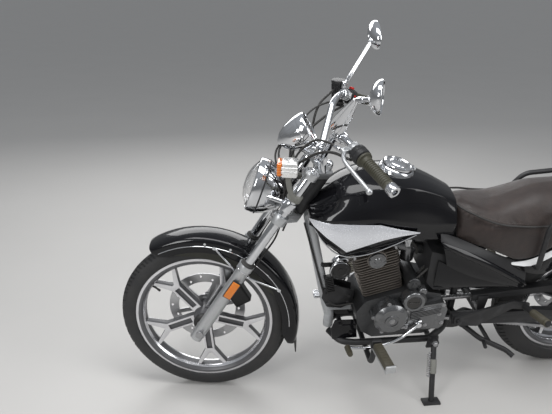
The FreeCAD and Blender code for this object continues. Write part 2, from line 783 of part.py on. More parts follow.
# Frame
def frame():
    px, pz = pivot_point[0], pivot_point[2]
    pieces = []
    pieces.append(Part.makeCylinder(head_tube_r, head_top_s - head_low_s, on_stem(head_low_s), steer_axis))
    pieces.append(tube([tuple(p) for p in spine_points()], spine_r, 160.0))
    for side in (-1, 1):
        c = side * cradle_half
        b = side * rail_half
        q = side * pivot_tube_half
        pieces.append(tube([(934.0, side * 16.0, cradle_z + 9.0), (900.0, c * 0.86, cradle_z), (850.0, c, cradle_z),
                            (566.0, c, cradle_z), (505.0, q * 1.2, 232.0), (px, q, pz - 20.0), (px, q, 430.0),
                            (462.0, b, 566.0)], side_tube_r, 60.0))
        pieces.append(seat_rail(side, seat_rail_r))
        pieces.append(rod((px - 4.0, side * 50.0, 410.0), (230.0, side * 88.0, 572.0), 9.0))
    brace = (rail_brace_x, rail_y(rail_brace_x), rail_z(rail_brace_x))
    pieces.append(rod((brace[0], -brace[1], brace[2]), brace, rail_brace_r))
    pieces.append(rod((566.0, -cradle_half, cradle_z), (566.0, cradle_half, cradle_z), 10.0))
    pieces.append(rod((px, -pivot_bolt_half, pz), (px, pivot_bolt_half, pz), pivot_r))
    pieces.extend(side_stand_hanger())
    pieces.extend(centre_stand_hanger())
    pieces.extend(shock_hangers())
    body = fused(pieces)
    return body.cut(Part.makeCylinder(stem_r + bore_gap, 400.0, on_stem(head_low_s - 90.0), steer_axis))


def rail_y(x):
    # the seat rail's distance from the middle behind the shock absorbers
    share = (x - rail_mid[0]) / (rail_rear[0] - rail_mid[0])
    return rail_mid[1] + (rail_rear[1] - rail_mid[1]) * share


def rail_z(x):
    share = (x - rail_mid[0]) / (rail_rear[0] - rail_mid[0])
    return rail_mid[2] + (rail_rear[2] - rail_mid[2]) * share


def seat_rail(side, r):
    b = side * rail_half
    return tube([(592.0, side * 10.0, 640.0), (550.0, side * 66.0, 620.0), (430.0, b, 556.0), (300.0, b, 552.0),
                 (rail_mid[0], side * rail_mid[1], rail_mid[2]), (rail_rear[0], side * rail_rear[1], rail_rear[2])],
                r, 90.0)


def side_stand_hanger():
    # tab and pin that carry the side stand on the left cradle tube
    x, y, z = side_pivot
    tab = plate([(x - 22.0, cradle_z - 14.0), (x + 22.0, cradle_z - 14.0), (x + 18.0, z + 16.0), (x - 18.0, z + 16.0)],
                y - 8.0 - seat_gap, y - seat_gap)
    arm = rod((x, cradle_half, cradle_z), (x, y - 4.0, cradle_z), 10.0)
    pin = rod((x, y - 6.0, z), (x, y + stand_eye_t + 6.0, z), stand_pin_r)
    return [tab, arm, pin]


def centre_stand_hanger():
    # two tabs and a pin behind the pivot tubes
    x, z = centre_pivot[0], centre_pivot[2]
    pieces = [rod((x, -centre_sleeve_half - 8.0, z), (x, centre_sleeve_half + 8.0, z), stand_pin_r)]
    for side in (-1, 1):
        y0 = centre_sleeve_half + seat_gap
        y1 = y0 + 7.0
        outline = [(x - 13.0, z - 10.0), (x + 8.0, z - 13.0), (x + 44.0, z - 10.0), (x + 40.0, z + 30.0),
                   (x + 22.0, z + 30.0), (x - 13.0, z + 10.0)]
        pieces.append(plate(outline, min(side * y0, side * y1), max(side * y0, side * y1)))
    return pieces


def shock_hangers():
    # stub bolts that carry the tops of the shock absorbers
    x, y, z = shock_top
    pieces = []
    for side in (-1, 1):
        pieces.append(rod((x, side * (rail_half - 6.0), z), (x, side * (y - 10.0 - seat_gap), z), 9.0))
        pieces.append(rod((x, side * rail_half, z), (x, side * rail_half, z - 34.0), 9.0))
    return pieces


def down_tube():
    top = on_stem(head_low_s + 10.0, 0.0, -head_tube_r - seat_gap - 12.0)
    foot = cradle_z + 9.0 + side_tube_r + seat_gap
    shape = tube([tuple(top), (948.0, 0, 330.0), (934.0, 0, 280.0), (934.0, 0, foot)], down_tube_r, 80.0)
    head_room = Part.makeCylinder(head_tube_r + seat_gap, 300.0, on_stem(head_low_s - 90.0), steer_axis)
    # the yoke's back corners sweep past its top
    sweep_r = math.hypot(yoke_back, yoke_back_half) + turn_gap
    sweep_top = yoke_low_s + yoke_low_t + turn_gap
    turn_room = Part.makeCylinder(sweep_r, 120.0, on_stem(sweep_top - 120.0), steer_axis)
    ears = []
    for side in (-1, 1):
        outline = [(858.6, 306.0), (858.6, 346.0), (944.0, 344.0), (938.0, 308.0)]
        ears.append(plate(outline, min(side * 8.0, side * 16.0), max(side * 8.0, side * 16.0)))
    return fused([shape.cut(head_room).cut(turn_room)] + ears)


# Engine
def in_engine(x, y, z):
    return tilt_place(crank_point).multVec(Vector(x, y, z))


def tilt_place(point):
    return Placement(vec(point), Rotation(Vector(0, 1, 0), cylinder_tilt_deg))


def crankcase():
    front = in_engine(62.0, 0, cylinder_base_s - seat_gap)
    back = in_engine(-75.0, 0, cylinder_base_s - seat_gap)
    outline = [
        (850.0, 300.0), (858.0, 352.0), (838.0, 384.0), (front.x, front.z), (back.x, back.z),
        (684.0, 462.0), (652.0, 458.0), (642.0, 436.0), (560.0, 416.0), (538.0, 372.0), (545.0, 270.0),
        (600.0, 238.0), (790.0, 234.0), (832.0, 262.0),
    ]
    body = plate(outline, -case_half, case_half)
    starter = rod((672.0, -70.0, 476.0), (672.0, 104.0, 476.0), 24.0)
    cap = rod((652.0, case_half - 10.0, 424.0), (652.0, case_half + 40.0, 424.0), 26.0)
    return fused([body, starter, cap]).cut(chain_room())


def left_cover():
    cx, cz = crank_point[0], crank_point[2]
    y0 = case_half + seat_gap
    disc = Part.makeCylinder(62.0, 40.0, Vector(cx, y0, cz), Vector(0, 1, 0))
    dome = Part.makeCone(62.0, 48.0, 12.0, Vector(cx, y0 + 40.0, cz), Vector(0, 1, 0))
    rear = plate([(cx, cz + 50.0), (700.0, 386.0), (640.0, 392.0), (556.0, 404.0), (540.0, 372.0),
                  (546.0, 300.0), (560.0, 286.0), (cx, cz - 60.0)], y0, y0 + 33.0)
    pad = plate([(672.0, 374.0), (568.0, 394.0), (556.0, 362.0), (672.0, 336.0)], y0 + 30.0, y0 + 36.0)
    ribs = []
    for k in range(5):
        z1 = 370.0 - 7.0 * k
        z2 = 390.0 - 6.0 * k
        ribs.append(plate([(672.0, z1), (566.0, z2), (566.0, z2 - 3.0), (672.0, z1 - 3.0)], y0 + 35.0, y0 + 41.0))
    boss = ring(26.0, 20.0, y0 + 51.0, y0 + 56.0)
    boss.translate(Vector(cx, 0, cz))
    cover = fused([disc, dome, rear, pad, boss] + ribs)
    cap_room = rod((652.0, 0, 424.0), (652.0, 200.0, 424.0), 26.0 + seat_gap)
    return cover.cut(cap_room).cut(chain_room())


def chain_room():
    # pocket behind the cover for the gearbox sprocket and the chain
    fx, fz = front_sprocket_at
    outline = [(fx + 52.0, fz - 52.0), (fx + 52.0, fz + 52.0), (500.0, fz + 60.0), (500.0, fz - 62.0)]
    return plate(outline, sprocket_y - chain_room_half, sprocket_y + chain_room_half)


def right_cover():
    y0 = -case_half - seat_gap
    disc = Part.makeCylinder(74.0, 34.0, Vector(690.0, y0, 340.0), Vector(0, -1, 0))
    dome = Part.makeCone(74.0, 58.0, 10.0, Vector(690.0, y0 - 34.0, 340.0), Vector(0, -1, 0))
    front = plate([(836.0, 306.0), (840.0, 372.0), (790.0, 396.0), (690.0, 412.0), (600.0, 396.0),
                   (590.0, 300.0), (690.0, 262.0), (800.0, 262.0)], y0 - 22.0, y0)
    return fused([disc, dome, front])


def finned(count, pitch, half_x, half_y, base, core_x, core_y):
    length = count * pitch
    pieces = [Part.makeBox(2 * core_x, 2 * core_y, length, Vector(-core_x, -core_y, base))]
    for i in range(count):
        z = base + i * pitch + (pitch - fin_t) / 2
        fin = Part.makeBox(2 * half_x, 2 * half_y, fin_t, Vector(-half_x, -half_y, z))
        upright = [e for e in fin.Edges if abs(e.BoundBox.ZLength - fin_t) < 0.1 and e.BoundBox.XLength < 0.1
                   and e.BoundBox.YLength < 0.1]
        pieces.append(fin.makeFillet(16.0, upright))
    return fused(pieces)


def cylinder():
    body = finned(fin_count, fin_pitch, 74.0, cylinder_half, cylinder_base_s, 50.0, 50.0)
    body.Placement = tilt_place(crank_point)
    return body


def cylinder_head():
    base = cylinder_base_s + fin_count * fin_pitch + 0.3
    body = finned(head_fin_count, fin_pitch, 80.0, cylinder_half + 4.0, base, 58.0, 54.0)
    top = base + head_fin_count * fin_pitch
    cover = Part.makeBox(132.0, 116.0, 30.0, Vector(-66.0, -58.0, top))
    cover = cover.makeFillet(10.0, cover.Edges)
    side_cap = Part.makeCylinder(34.0, 22.0, Vector(0, 54.0, top - 22.0), Vector(0, 1, 0))
    body = fused([body, cover, side_cap])
    body.Placement = tilt_place(crank_point)
    return body


def carburettor():
    inlet = in_engine(-80.0 - seat_gap, 0.0, inlet_s)
    back = Vector(inlet.x - intake_len, 6.0, inlet.z - 16.0)
    middle = (inlet + back) * 0.5
    barrel = rod(inlet, back, 22.0)
    bowl = Part.makeCylinder(24.0, 56.0, middle - Vector(0, 0, 52.0), Vector(0, 0, 1))
    top = Part.makeCylinder(21.0, 46.0, middle + Vector(0, 0, 4.0), Vector(0, 0, 1))
    body = fused([barrel, bowl, top])
    head = cylinder_head_block(seat_gap)
    return body.cut(head).cut(airbox_block(seat_gap))


def cylinder_head_block(grow):
    # the room that the head's fins take, for pieces that stop against it
    base = cylinder_base_s + fin_count * fin_pitch
    half_x = 80.0 + grow
    half_y = cylinder_half + 4.0 + grow
    block = Part.makeBox(2 * half_x, 2 * half_y, head_fin_count * fin_pitch, Vector(-half_x, -half_y, base))
    block.Placement = tilt_place(crank_point)
    return block


def airbox_block(grow):
    inlet = in_engine(-80.0 - seat_gap, 0.0, inlet_s)
    x1 = inlet.x - intake_len + grow
    outline = [(x1, 606.0), (x1, 476.0), (x1 - 30.0, 444.0), (x1 - 96.0, 440.0), (x1 - 92.0, 580.0)]
    return plate(outline, -airbox_half, airbox_half)


def airbox():
    return airbox_block(0.0)


def exhaust():
    port = in_engine(80.0 + seat_gap, 0.0, port_s)
    out = in_engine(80.0 + 62.0, 0.0, port_s)
    bend = (884.0, -40.0, 430.0)
    out_y = -arm_half - arm_w / 2
    join = Vector(470.0, out_y - 50.0, 236.0)
    pts = [tuple(port), tuple(out), bend, (888.0, -114.0, 300.0), (800.0, -140.0, 226.0),
           (640.0, out_y - 38.0, 216.0), tuple(join)]
    header = tube(pts, 17.0, 70.0)
    end = Vector(-230.0, out_y - 66.0, 322.0)
    along = (end - join).normalize()
    clamp = rod(join - along * 30.0, join + along * 4.0, 21.0)
    neck = cone(join, join + along * 90.0, 17.0, 42.0)
    can = rod(join + along * 90.0, end, 42.0)
    tip = sleeve(end, end + along * 26.0, 30.0, 24.0)
    return fused([header, clamp, neck, can, tip])


# Bodywork
# one row for each section: x, ridge z, upper crease (y, z), lower crease (y, z), hem (y, z)
tank_sections = (
    (1044.0, 770.0, 36.0, 762.0, 66.0, 742.0, 60.0, 706.0),
    (1000.0, 802.0, 70.0, 780.0, 112.0, 752.0, 100.0, 700.0),
    (930.0, 850.0, 92.0, 820.0, 130.0, 760.0, 118.0, 690.0),
    (840.0, 876.0, 98.0, 848.0, 138.0, 765.0, 122.0, 684.0),
    (740.0, 874.0, 94.0, 850.0, 132.0, 748.0, 116.0, 672.0),
    (650.0, 842.0, 82.0, 822.0, 118.0, 728.0, 104.0, 660.0),
    (562.0, 794.0, 64.0, 780.0, 102.0, 716.0, 92.0, 652.0),
)
tank_tunnel_half = 30.0


def spine_points():
    # the backbone tube's corners, from the head tube back under the tank
    return [on_stem(head_low_s + 34.0), vec(spine_knee), vec(spine_end)]


def tank_shell():
    wires = []
    for x, ridge, y1, z1, y2, z2, y3, z3 in tank_sections:
        wires.append(slice_wire(x, [(0, ridge), (y1, z1), (y2, z2), (y3, z3)]))
    body = loft(wires)
    # the tunnel's roof rests on the backbone tube
    front, knee, end = spine_points()
    fall_1 = (front.z - knee.z) / (front.x - knee.x)
    fall_2 = (knee.z - end.z) / (knee.x - end.x)
    clear = spine_r + seat_gap
    roof = [(front.x, front.z + clear * math.hypot(1, fall_1)), (knee.x, knee.z + clear * math.hypot(1, fall_2)),
            (end.x - 60.0, end.z - 60.0 * fall_2 + clear * math.hypot(1, fall_2))]
    tunnel = plate([(front.x, 600.0)] + roof + [(end.x - 60.0, 600.0)], -tank_tunnel_half, tank_tunnel_half)
    body = body.cut(tunnel)
    return body.cut(Part.makeCylinder(head_tube_r + 10.0, 300.0, on_stem(head_low_s - 40.0), steer_axis))


def fuel_tank():
    # the shell with the filler's collar and the pin of its lid
    collar = Part.makeCone(collar_r, collar_r - 4.0, 16.0, Vector(0, 0, -12.0), Vector(0, 0, 1))
    x, z = cap_hinge
    pin = rod((x, -knuckle_half - lug_t, z), (x, knuckle_half + lug_t, z), hinge_pin_r)
    pieces = [collar, pin]
    for side in (-1, 1):
        y = side * (knuckle_half + 0.5 + lug_t / 2)
        pieces.append(Part.makeBox(8.5, lug_t, z + 3.0, Vector(x - 5.0, y - lug_t / 2, 0.0)))
    neck = fused(pieces)
    neck.Placement = cap_place(0.0)
    return tank_shell().fuse(neck)


cap_point = (756.0, 0.0, 880.0)
cap_tilt_deg = -14.0
cap_r = 50.0
cap_t = 9.0
cap_rise = 4.3
collar_r = 58.0
cap_hinge = (-54.0, 8.8)
hinge_pin_r = 1.5
knuckle_r = 4.0
knuckle_half = 7.0
lug_t = 5.0
cowl_out = 112.0
rail_out = 143.0


def cap_place(rise):
    turn = Rotation(Vector(0, 1, 0), cap_tilt_deg)
    base = Placement(vec(cap_point), turn)
    return base.multiply(Placement(Vector(0, 0, rise), Rotation()))


def fuel_cap():
    x, z = cap_hinge
    lid = Part.makeCylinder(cap_r, cap_t, Vector(0, 0, cap_rise))
    dome = Part.makeCone(cap_r, cap_r - 12.0, 5.0, Vector(0, 0, cap_rise + cap_t), Vector(0, 0, 1))
    knuckle = rod((x, -knuckle_half, z), (x, knuckle_half, z), knuckle_r)
    bridge = Part.makeBox(10.0, 2 * knuckle_half, knuckle_r, Vector(x, -knuckle_half, z))
    shape = fused([lid, dome, knuckle, bridge])
    shape = shape.cut(rod((x, -20.0, z), (x, 20.0, z), hinge_pin_r + bore_gap))
    shape.Placement = cap_place(0.0)
    return shape


# rails of the side wing from front to back, as (x, y, z)
wing_upper = ((1052.0, 74.0, 741.0), (1004.0, 113.0, 743.0), (930.0, 133.0, 746.0), (832.0, 143.0, 747.0),
              (760.0, 139.0, 724.0), (692.0, 130.0, 706.0))
wing_middle = ((1036.0, 92.0, 722.0), (1000.0, 120.0, 696.0), (936.0, 150.0, 655.0), (820.0, 154.0, 698.0),
               (760.0, 145.0, 704.0), (694.0, 131.0, 702.0))
wing_lower = ((1030.0, 84.0, 706.0), (1000.0, 104.0, 664.0), (944.0, 118.0, 622.0), (880.0, 124.0, 622.0),
              (790.0, 122.0, 650.0), (700.0, 117.0, 690.0))
panel_wall = 6.0


def tank_panels():
    body = panel([wing_upper, wing_middle, wing_lower], panel_wall)
    shell = tank_shell()
    return Part.makeCompound([body.cut(shell), mirrored(body).cut(shell)])


# one row for each section: x, crown z, piping (y, z), foot (y, z)
seat_sections = (
    (556.0, 778.0, 48.0, 764.0, 84.0, 650.0),
    (500.0, 756.0, 92.0, 740.0, 108.0, 628.0),
    (420.0, 748.0, 120.0, 716.0, 128.0, 600.0),
    (340.0, 774.0, 126.0, 708.0, 131.0, 572.0),
    (270.0, 800.0, 124.0, 706.0, 130.0, 582.0),
    (190.0, 804.0, 120.0, 712.0, 124.0, 622.0),
    (120.0, 806.0, 116.0, 718.0, 118.0, 664.0),
    (-60.0, 806.0, 104.0, 742.0, 106.0, 696.0),
    (-150.0, 794.0, 80.0, 756.0, 82.0, 716.0),
)


def seat():
    wires = []
    for x, crown, y1, z1, y2, z2 in seat_sections:
        wires.append(slice_wire(x, [(0, crown), (y1, z1), (y2, z2)]))
    body = loft(wires)
    # the pan stands on the seat rails, and the side walls hang outside the cowl
    rest = seat_rail_r + seat_gap
    pan = plate([(546.0, 633.0), (430.0, 556.0 + rest), (300.0, 552.0 + rest), (170.0, 600.0 + rest),
                 (170.0, 650.0), (300.0, 600.0), (430.0, 615.0), (546.0, 660.0)], -98.0, 98.0)
    room = plate([(168.0, 540.0), (168.0, 652.0), (60.0, 670.0), (-150.0, 702.0), (-200.0, 714.0), (-200.0, 540.0)],
                 -cowl_out - seat_gap, cowl_out + seat_gap)
    walls = plate([(600.0, 540.0), (600.0, 652.0), (560.0, 652.0), (430.0, 620.0), (300.0, 610.0), (168.0, 652.0),
                   (168.0, 540.0)], -cowl_out - seat_gap, cowl_out + seat_gap)
    body = body.cut(room).cut(walls).fuse(pan)
    return body.cut(Part.makeCompound([seat_rail(side, rest) for side in (-1, 1)]))


# rails of the side cover from front to back, as (x, y, z)
cover_top = ((612.0, 120.0, 660.0), (540.0, 128.0, 632.0), (473.0, 131.0, 601.0), (400.0, 132.0, 560.0),
             (330.0, 130.0, 516.0), (282.0, 126.0, 484.0))
cover_ridge = ((606.0, 128.0, 650.0), (536.0, 138.0, 618.0), (468.0, 141.0, 586.0), (394.0, 141.0, 545.0),
               (326.0, 138.0, 502.0), (277.0, 132.0, 474.0))
cover_valley = ((599.0, 122.0, 637.0), (530.0, 131.0, 603.0), (462.0, 134.0, 569.0), (388.0, 135.0, 529.0),
                (322.0, 132.0, 489.0), (274.0, 128.0, 465.0))
cover_foot = ((572.0, 112.0, 556.0), (520.0, 118.0, 529.0), (466.0, 121.0, 506.0), (396.0, 124.0, 484.0),
              (330.0, 124.0, 466.0), (286.0, 122.0, 453.0))
cover_peg = (560.0, 572.0)


def side_covers():
    body = panel([cover_top, cover_ridge, cover_valley, cover_foot], panel_wall)
    # a grommet peg reaches the airbox
    x, z = cover_peg
    peg = rod((x, airbox_half + seat_gap, z), (x, cover_foot[0][1], z), 8.0)
    return both_sides(body.fuse(peg))


# rails of the tail cowl from front to back; it stays inside the shock absorbers at x = 0 to 172
cowl_top = ((350.0, 120.0, 564.0), (282.0, 123.0, 575.0), (214.0, 121.0, 606.0), (172.0, 110.0, 624.0),
            (120.0, 109.0, 650.0), (-60.0, 107.0, 684.0), (-150.0, 99.0, 699.0), (-238.0, 84.0, 712.0))
cowl_border = ((346.0, 126.0, 558.0), (282.0, 131.0, 553.0), (211.0, 125.0, 581.0), (172.0, 111.5, 596.0),
               (120.0, 111.5, 618.0), (-60.0, 111.5, 660.0), (-150.0, 104.0, 682.0), (-240.0, 88.0, 700.0))
cowl_foot = ((338.0, 122.0, 546.0), (282.0, 124.0, 520.0), (217.0, 119.0, 508.0), (172.0, 108.0, 520.0),
             (120.0, 107.0, 545.0), (-60.0, 104.0, 614.0), (-150.0, 96.0, 646.0), (-238.0, 80.0, 674.0))


def cowl_shell():
    return panel([cowl_top, cowl_border, cowl_foot], panel_wall)


def tail_cowl():
    # pegs reach the ends of the rails' brace
    z = rail_z(rail_brace_x)
    peg_start = rail_y(rail_brace_x) + 1.1 * seat_rail_r + seat_gap
    peg = rod((rail_brace_x, peg_start, z), (rail_brace_x, cowl_foot[5][1] - 1.0, z), rail_brace_r)
    room = rod((shock_top[0], 0, shock_top[2]), (shock_top[0], 200.0, shock_top[2]), 16.0)
    return both_sides(cowl_shell().fuse(peg).cut(room))


def rear_fender():
    inner_r = rear_tyre_r + rear_fender_gap
    face = fender_section(inner_r, rear_fender_half, 60.0)
    shell = at_axle(sweep_section(face, rear_fender_front_deg, rear_fender_rear_deg), rear_axle)
    # block under the frame's rear cross tube, and the lamp's shelf behind
    top = rear_tyre_r + math.sqrt(inner_r ** 2 - rail_brace_x ** 2)
    under = rail_z(rail_brace_x) - rail_brace_r - seat_gap
    block = Part.makeBox(24.0, 60.0, under - top + 2.0, Vector(rail_brace_x - 12.0, -30.0, top - 2.0))
    return shell.fuse(block)


def tail_lamp():
    inner_r = rear_tyre_r + rear_fender_gap + fender_t
    turn = math.radians(lamp_turn_deg)
    place = Placement(rear_axle + Vector(inner_r * math.cos(turn), 0, inner_r * math.sin(turn)),
                      Rotation(Vector(0, 1, 0), 90.0 - lamp_turn_deg))
    body = Part.makeBox(62.0, 120.0, 60.0, Vector(-31.0, -60.0, seat_gap))
    body = body.makeFillet(10.0, body.Edges)
    body.Placement = place
    return body


def rear_signals():
    # on stalks from the fender's sides below the lamp
    inner_r = rear_tyre_r + rear_fender_gap - 24.0
    turn = math.radians(lamp_turn_deg)
    x = inner_r * math.cos(turn)
    z = rear_tyre_r + inner_r * math.sin(turn)
    arm = rod((x, rear_fender_half + fender_t + seat_gap, z), (x, 170.0, z), 8.0)
    body = Part.makeBox(62.0, 62.0, 46.0, Vector(x - 31.0, 160.0, z - 23.0))
    body = body.makeFillet(9.0, body.Edges)
    return both_sides(arm.fuse(body))


def grab_rail():
    # its feet stand on the cowl's flanks, the rest runs round the seat
    y = rail_out
    foot_y = cowl_foot[1][1] - panel_wall
    left = tube([(262.0, foot_y, 550.0), (262.0, y + 3.0, 550.0), (262.0, y + 3.0, 716.0),
                 (226.0, y, 764.0), (120.0, y - 2.0, 774.0), (-110.0, 122.0, 794.0), (-215.0, 76.0, 808.0),
                 (-224.0, 0.0, 809.0)], 9.0, 60.0)
    left = left.cut(cowl_shell())
    inside = Part.makeBox(60.0, foot_y + 2.0, 60.0, Vector(232.0, 0.0, 520.0))
    left = left.cut(inside)
    outer = max(left.Solids, key=lambda solid: solid.Volume)
    deck = Part.makeBox(60.0, 150.0, 7.0, Vector(-222.0, -75.0, 804.0))
    return fused([outer, mirrored(outer), deck])


# Rear suspension and drive
def swingarm():
    px, pz = pivot_point[0], pivot_point[2]
    pieces = []
    for side in (-1, 1):
        y0 = side * (arm_half - arm_w / 2)
        y1 = side * (arm_half + arm_w / 2)
        outline = [(px + 20.0, pz + 20.0), (px + 20.0, pz - 20.0), (60.0, 282.0), (-52.0, 280.0),
                   (-56.0, 322.0), (0.0, 334.0), (16.0, 364.0), (48.0, 364.0), (70.0, 334.0), (200.0, 344.0)]
        pieces.append(plate(outline, min(y0, y1), max(y0, y1)))
    pieces.append(rod((396.0, -arm_half, pz - 2.0), (396.0, arm_half, pz - 2.0), 15.0))
    pieces.append(shock_lugs())
    body = fused(pieces)
    hole = rod((px, -160.0, pz), (px, 160.0, pz), pivot_r + bore_gap)
    slot = rod((0, -160.0, rear_tyre_r), (0, 160.0, rear_tyre_r), axle_r + bore_gap)
    return body.cut(hole).cut(slot)


def shock_lugs():
    # bolts through the eyes at the bottom of the shock absorbers
    x, y, z = shock_low
    stub = rod((x, arm_half, z), (x, y - 10.0 - seat_gap, z), 9.0)
    return both_sides(stub)


def rear_axle_rod():
    length = 2 * arm_half + arm_w + 16.0
    shaft = Part.makeCylinder(axle_r, length, rear_axle - Vector(0, length / 2, 0), Vector(0, 1, 0))
    head = Part.makeCylinder(13.0, 9.0, rear_axle + Vector(0, arm_half + arm_w / 2 + 0.3, 0), Vector(0, 1, 0))
    nut = Part.makeCylinder(13.0, 9.0, rear_axle - Vector(0, arm_half + arm_w / 2 + 9.3, 0), Vector(0, 1, 0))
    return fused([shaft, head, nut])


def shocks():
    low = vec(shock_low)
    top = vec(shock_top)
    along = (top - low).normalize()
    pieces = []
    eye_low = Part.makeCylinder(14.0, 20.0, low - Vector(0, 10.0, 0), Vector(0, 1, 0))
    eye_top = Part.makeCylinder(14.0, 20.0, top - Vector(0, 10.0, 0), Vector(0, 1, 0))
    body = rod(low + along * 17.0, low + along * 190.0, shock_body_r)
    stem = rod(low + along * 10.0, top - along * 10.0, 7.0)
    seat_low = rod(low + along * 24.0, low + along * 32.0, spring_r + 6.0)
    seat_top = rod(top - along * 34.0, top - along * 24.0, spring_r + 6.0)
    cover = rod(top - along * 80.0, top - along * 24.0, 20.0)
    return both_sides(fused([eye_low, eye_top, body, stem, seat_low, seat_top, cover]))


def shock_springs():
    # each half turn is a tilted half ring, so the runs meet smoothly
    low = vec(shock_low)
    top = vec(shock_top)
    along = (top - low).normalize()
    start = low + along * (spring_foot + fit_gap + spring_wire_r)
    length = (top - low).Length - spring_foot - spring_head - 2 * (fit_gap + spring_wire_r)
    rise = length / (2 * spring_turns)
    pieces = []
    for i in range(2 * spring_turns):
        side = 1 if i % 2 == 0 else -1
        a = Vector(-side * spring_r, 0, i * rise)
        b = Vector(side * spring_r, 0, (i + 1) * rise)
        middle = (a + b) * 0.5
        ring_r = (b - a).Length / 2
        disc = Part.Face(Part.Wire(Part.makeCircle(spring_wire_r, a, Vector(0, 1, 0))))
        axis = (b - a).cross(Vector(0, -side, 0))
        pieces.append(disc.revolve(middle, axis, 180))
    coil = pieces[0].multiFuse(pieces[1:])
    coil.Placement = Placement(start, Rotation(Vector(0, 0, 1), along))
    return both_sides(coil)


def belt(grow):
    # flat loop round both sprockets, standing off their teeth by grow
    fx, fz = front_sprocket_at
    base = math.atan2(fz - rear_tyre_r, fx)
    lean = math.asin((rear_sprocket_r - front_sprocket_r) / math.hypot(fx, fz - rear_tyre_r))
    up = base + math.pi / 2 - lean
    dn = base - math.pi / 2 + lean
    big = rear_sprocket_r + grow
    small = front_sprocket_r + grow

    def at(cx, cz, r, turn):
        return Vector(cx + r * math.cos(turn), 0, cz + r * math.sin(turn))

    b1 = at(0, rear_tyre_r, big, up)
    b2 = at(0, rear_tyre_r, big, dn)
    s1 = at(fx, fz, small, up)
    s2 = at(fx, fz, small, dn)
    edges = [
        Part.Arc(b1, at(0, rear_tyre_r, big, base + math.pi), b2).toShape(),
        Part.LineSegment(b2, s2).toShape(),
        Part.Arc(s2, at(fx, fz, small, base), s1).toShape(),
        Part.LineSegment(s1, b1).toShape(),
    ]
    return Part.Face(Part.Wire(edges))


def drive_chain():
    # one loop whose outline narrows between the pins of its links
    outer = chain_outline(chain_gap + chain_h, -chain_waist)
    inner = chain_outline(chain_gap, 0.0)
    band = outer.cut(inner).extrude(Vector(0, chain_w, 0))
    band.translate(Vector(0, sprocket_y - chain_w / 2, 0))
    return band


def chain_outline(grow, waist):
    # points along the loop, every second one drawn in by the waist
    edge = belt(grow).OuterWire
    count = 2 * int(round(edge.Length / link_pitch))
    points = edge.discretize(Number=count + 1)[:-1]
    middle = belt(grow + waist).OuterWire if waist else None
    line = []
    for i, p in enumerate(points):
        if middle and i % 2:
            near = middle.distToShape(Part.Vertex(p))[1][0][0]
            line.append(near)
        else:
            line.append(p)
    return Part.Face(Part.makePolygon(line + [line[0]]))


def gearbox_sprocket():
    x, z = front_sprocket_at
    y0 = sprocket_y - chain_room_half + seat_gap
    wheel = toothed(front_sprocket_r - tooth_h, front_sprocket_r, front_teeth, y0, sprocket_y + 3.0)
    wheel.translate(Vector(x, 0, z))
    return wheel


def rear_sprocket():
    disc = toothed(rear_sprocket_r - tooth_h, rear_sprocket_r, rear_teeth, sprocket_y - 3.0, sprocket_y + 3.0)
    centre = Part.makeCylinder(hub_r - 8.0, 20.0, Vector(0, sprocket_y - 10.0, 0), Vector(0, 1, 0))
    windows = []
    for i in range(5):
        turn = math.radians(i * 72.0)
        spot = Vector(64.0 * math.cos(turn), sprocket_y - 10.0, 64.0 * math.sin(turn))
        windows.append(Part.makeCylinder(13.0, 20.0, spot, Vector(0, 1, 0)))
    seat = ring(hub_r + 6.0, hub_r - 8.0, rear_hub_half + 0.3, sprocket_y - 3.0)
    return at_axle(disc.cut(Part.makeCompound([centre] + windows)).fuse(seat), rear_axle)


def chain_guard():
    # follows the upper run a little above the chain, clear of the tyre
    y0 = sprocket_y - 9.0
    y1 = sprocket_y + 22.0
    top = plate([(440.0, 398.0), (120.0, 428.0), (16.0, 424.0), (16.0, 428.0), (120.0, 432.0), (440.0, 402.0)],
                y0, y1)
    side = plate([(440.0, 402.0), (120.0, 432.0), (16.0, 428.0), (16.0, 398.0), (120.0, 402.0), (440.0, 376.0)],
                 y1 - 4.0, y1)
    foot = plate([(420.0, 400.0), (380.0, 400.0), (388.0, 336.0), (412.0, 336.0)], y1 - 4.0, arm_half - arm_w / 2 - seat_gap)
    return fused([top, side, foot])


def rear_caliper():
    box = Part.makeBox(70.0, 38.0, 60.0, Vector(44.0, rear_disc_y - 21.0, 352.0))
    box = box.makeFillet(7.0, box.Edges)
    half_gap = disc_t / 2 + 5.0
    gap = ring(rear_disc_r + 6.0, 20.0, rear_disc_y - half_gap, rear_disc_y + half_gap)
    gap.translate(rear_axle)
    ear = plate([(60.0, 366.0), (104.0, 366.0), (104.0, 312.0), (60.0, 312.0)],
                -arm_half + arm_w / 2 + seat_gap, rear_disc_y - 14.0)
    return box.cut(gap).fuse(ear)


# Rider's controls
def foot_pegs():
    z = cradle_z - side_tube_r - 10.0 - seat_gap
    x = 806.0
    left = tube([(x, 0.0, z), (x, 158.0, z), (x, 178.0, 250.0), (x - 2.0, 190.0, 290.0)], 10.0, 30.0)
    peg = rod((x - 2.0, 184.0, 289.0), (788.0, 316.0, 292.0), 15.0)
    left = left.fuse(peg)
    return left.fuse(mirrored(left))


def shift_lever():
    y0 = case_half + 2 * seat_gap + 33.0
    hub = rod((640.0, y0, 316.0), (640.0, y0 + 14.0, 316.0), 11.0)
    arm = tube([(640.0, y0 + 8.0, 316.0), (700.0, y0 + 12.0, 262.0), (780.0, y0 + 18.0, 232.0),
                (896.0, y0 + 20.0, 240.0)], 6.0, 60.0)
    pad = rod((892.0, y0 + 16.0, 240.0), (892.0, y0 + 68.0, 250.0), 9.0)
    return fused([hub, arm, pad])


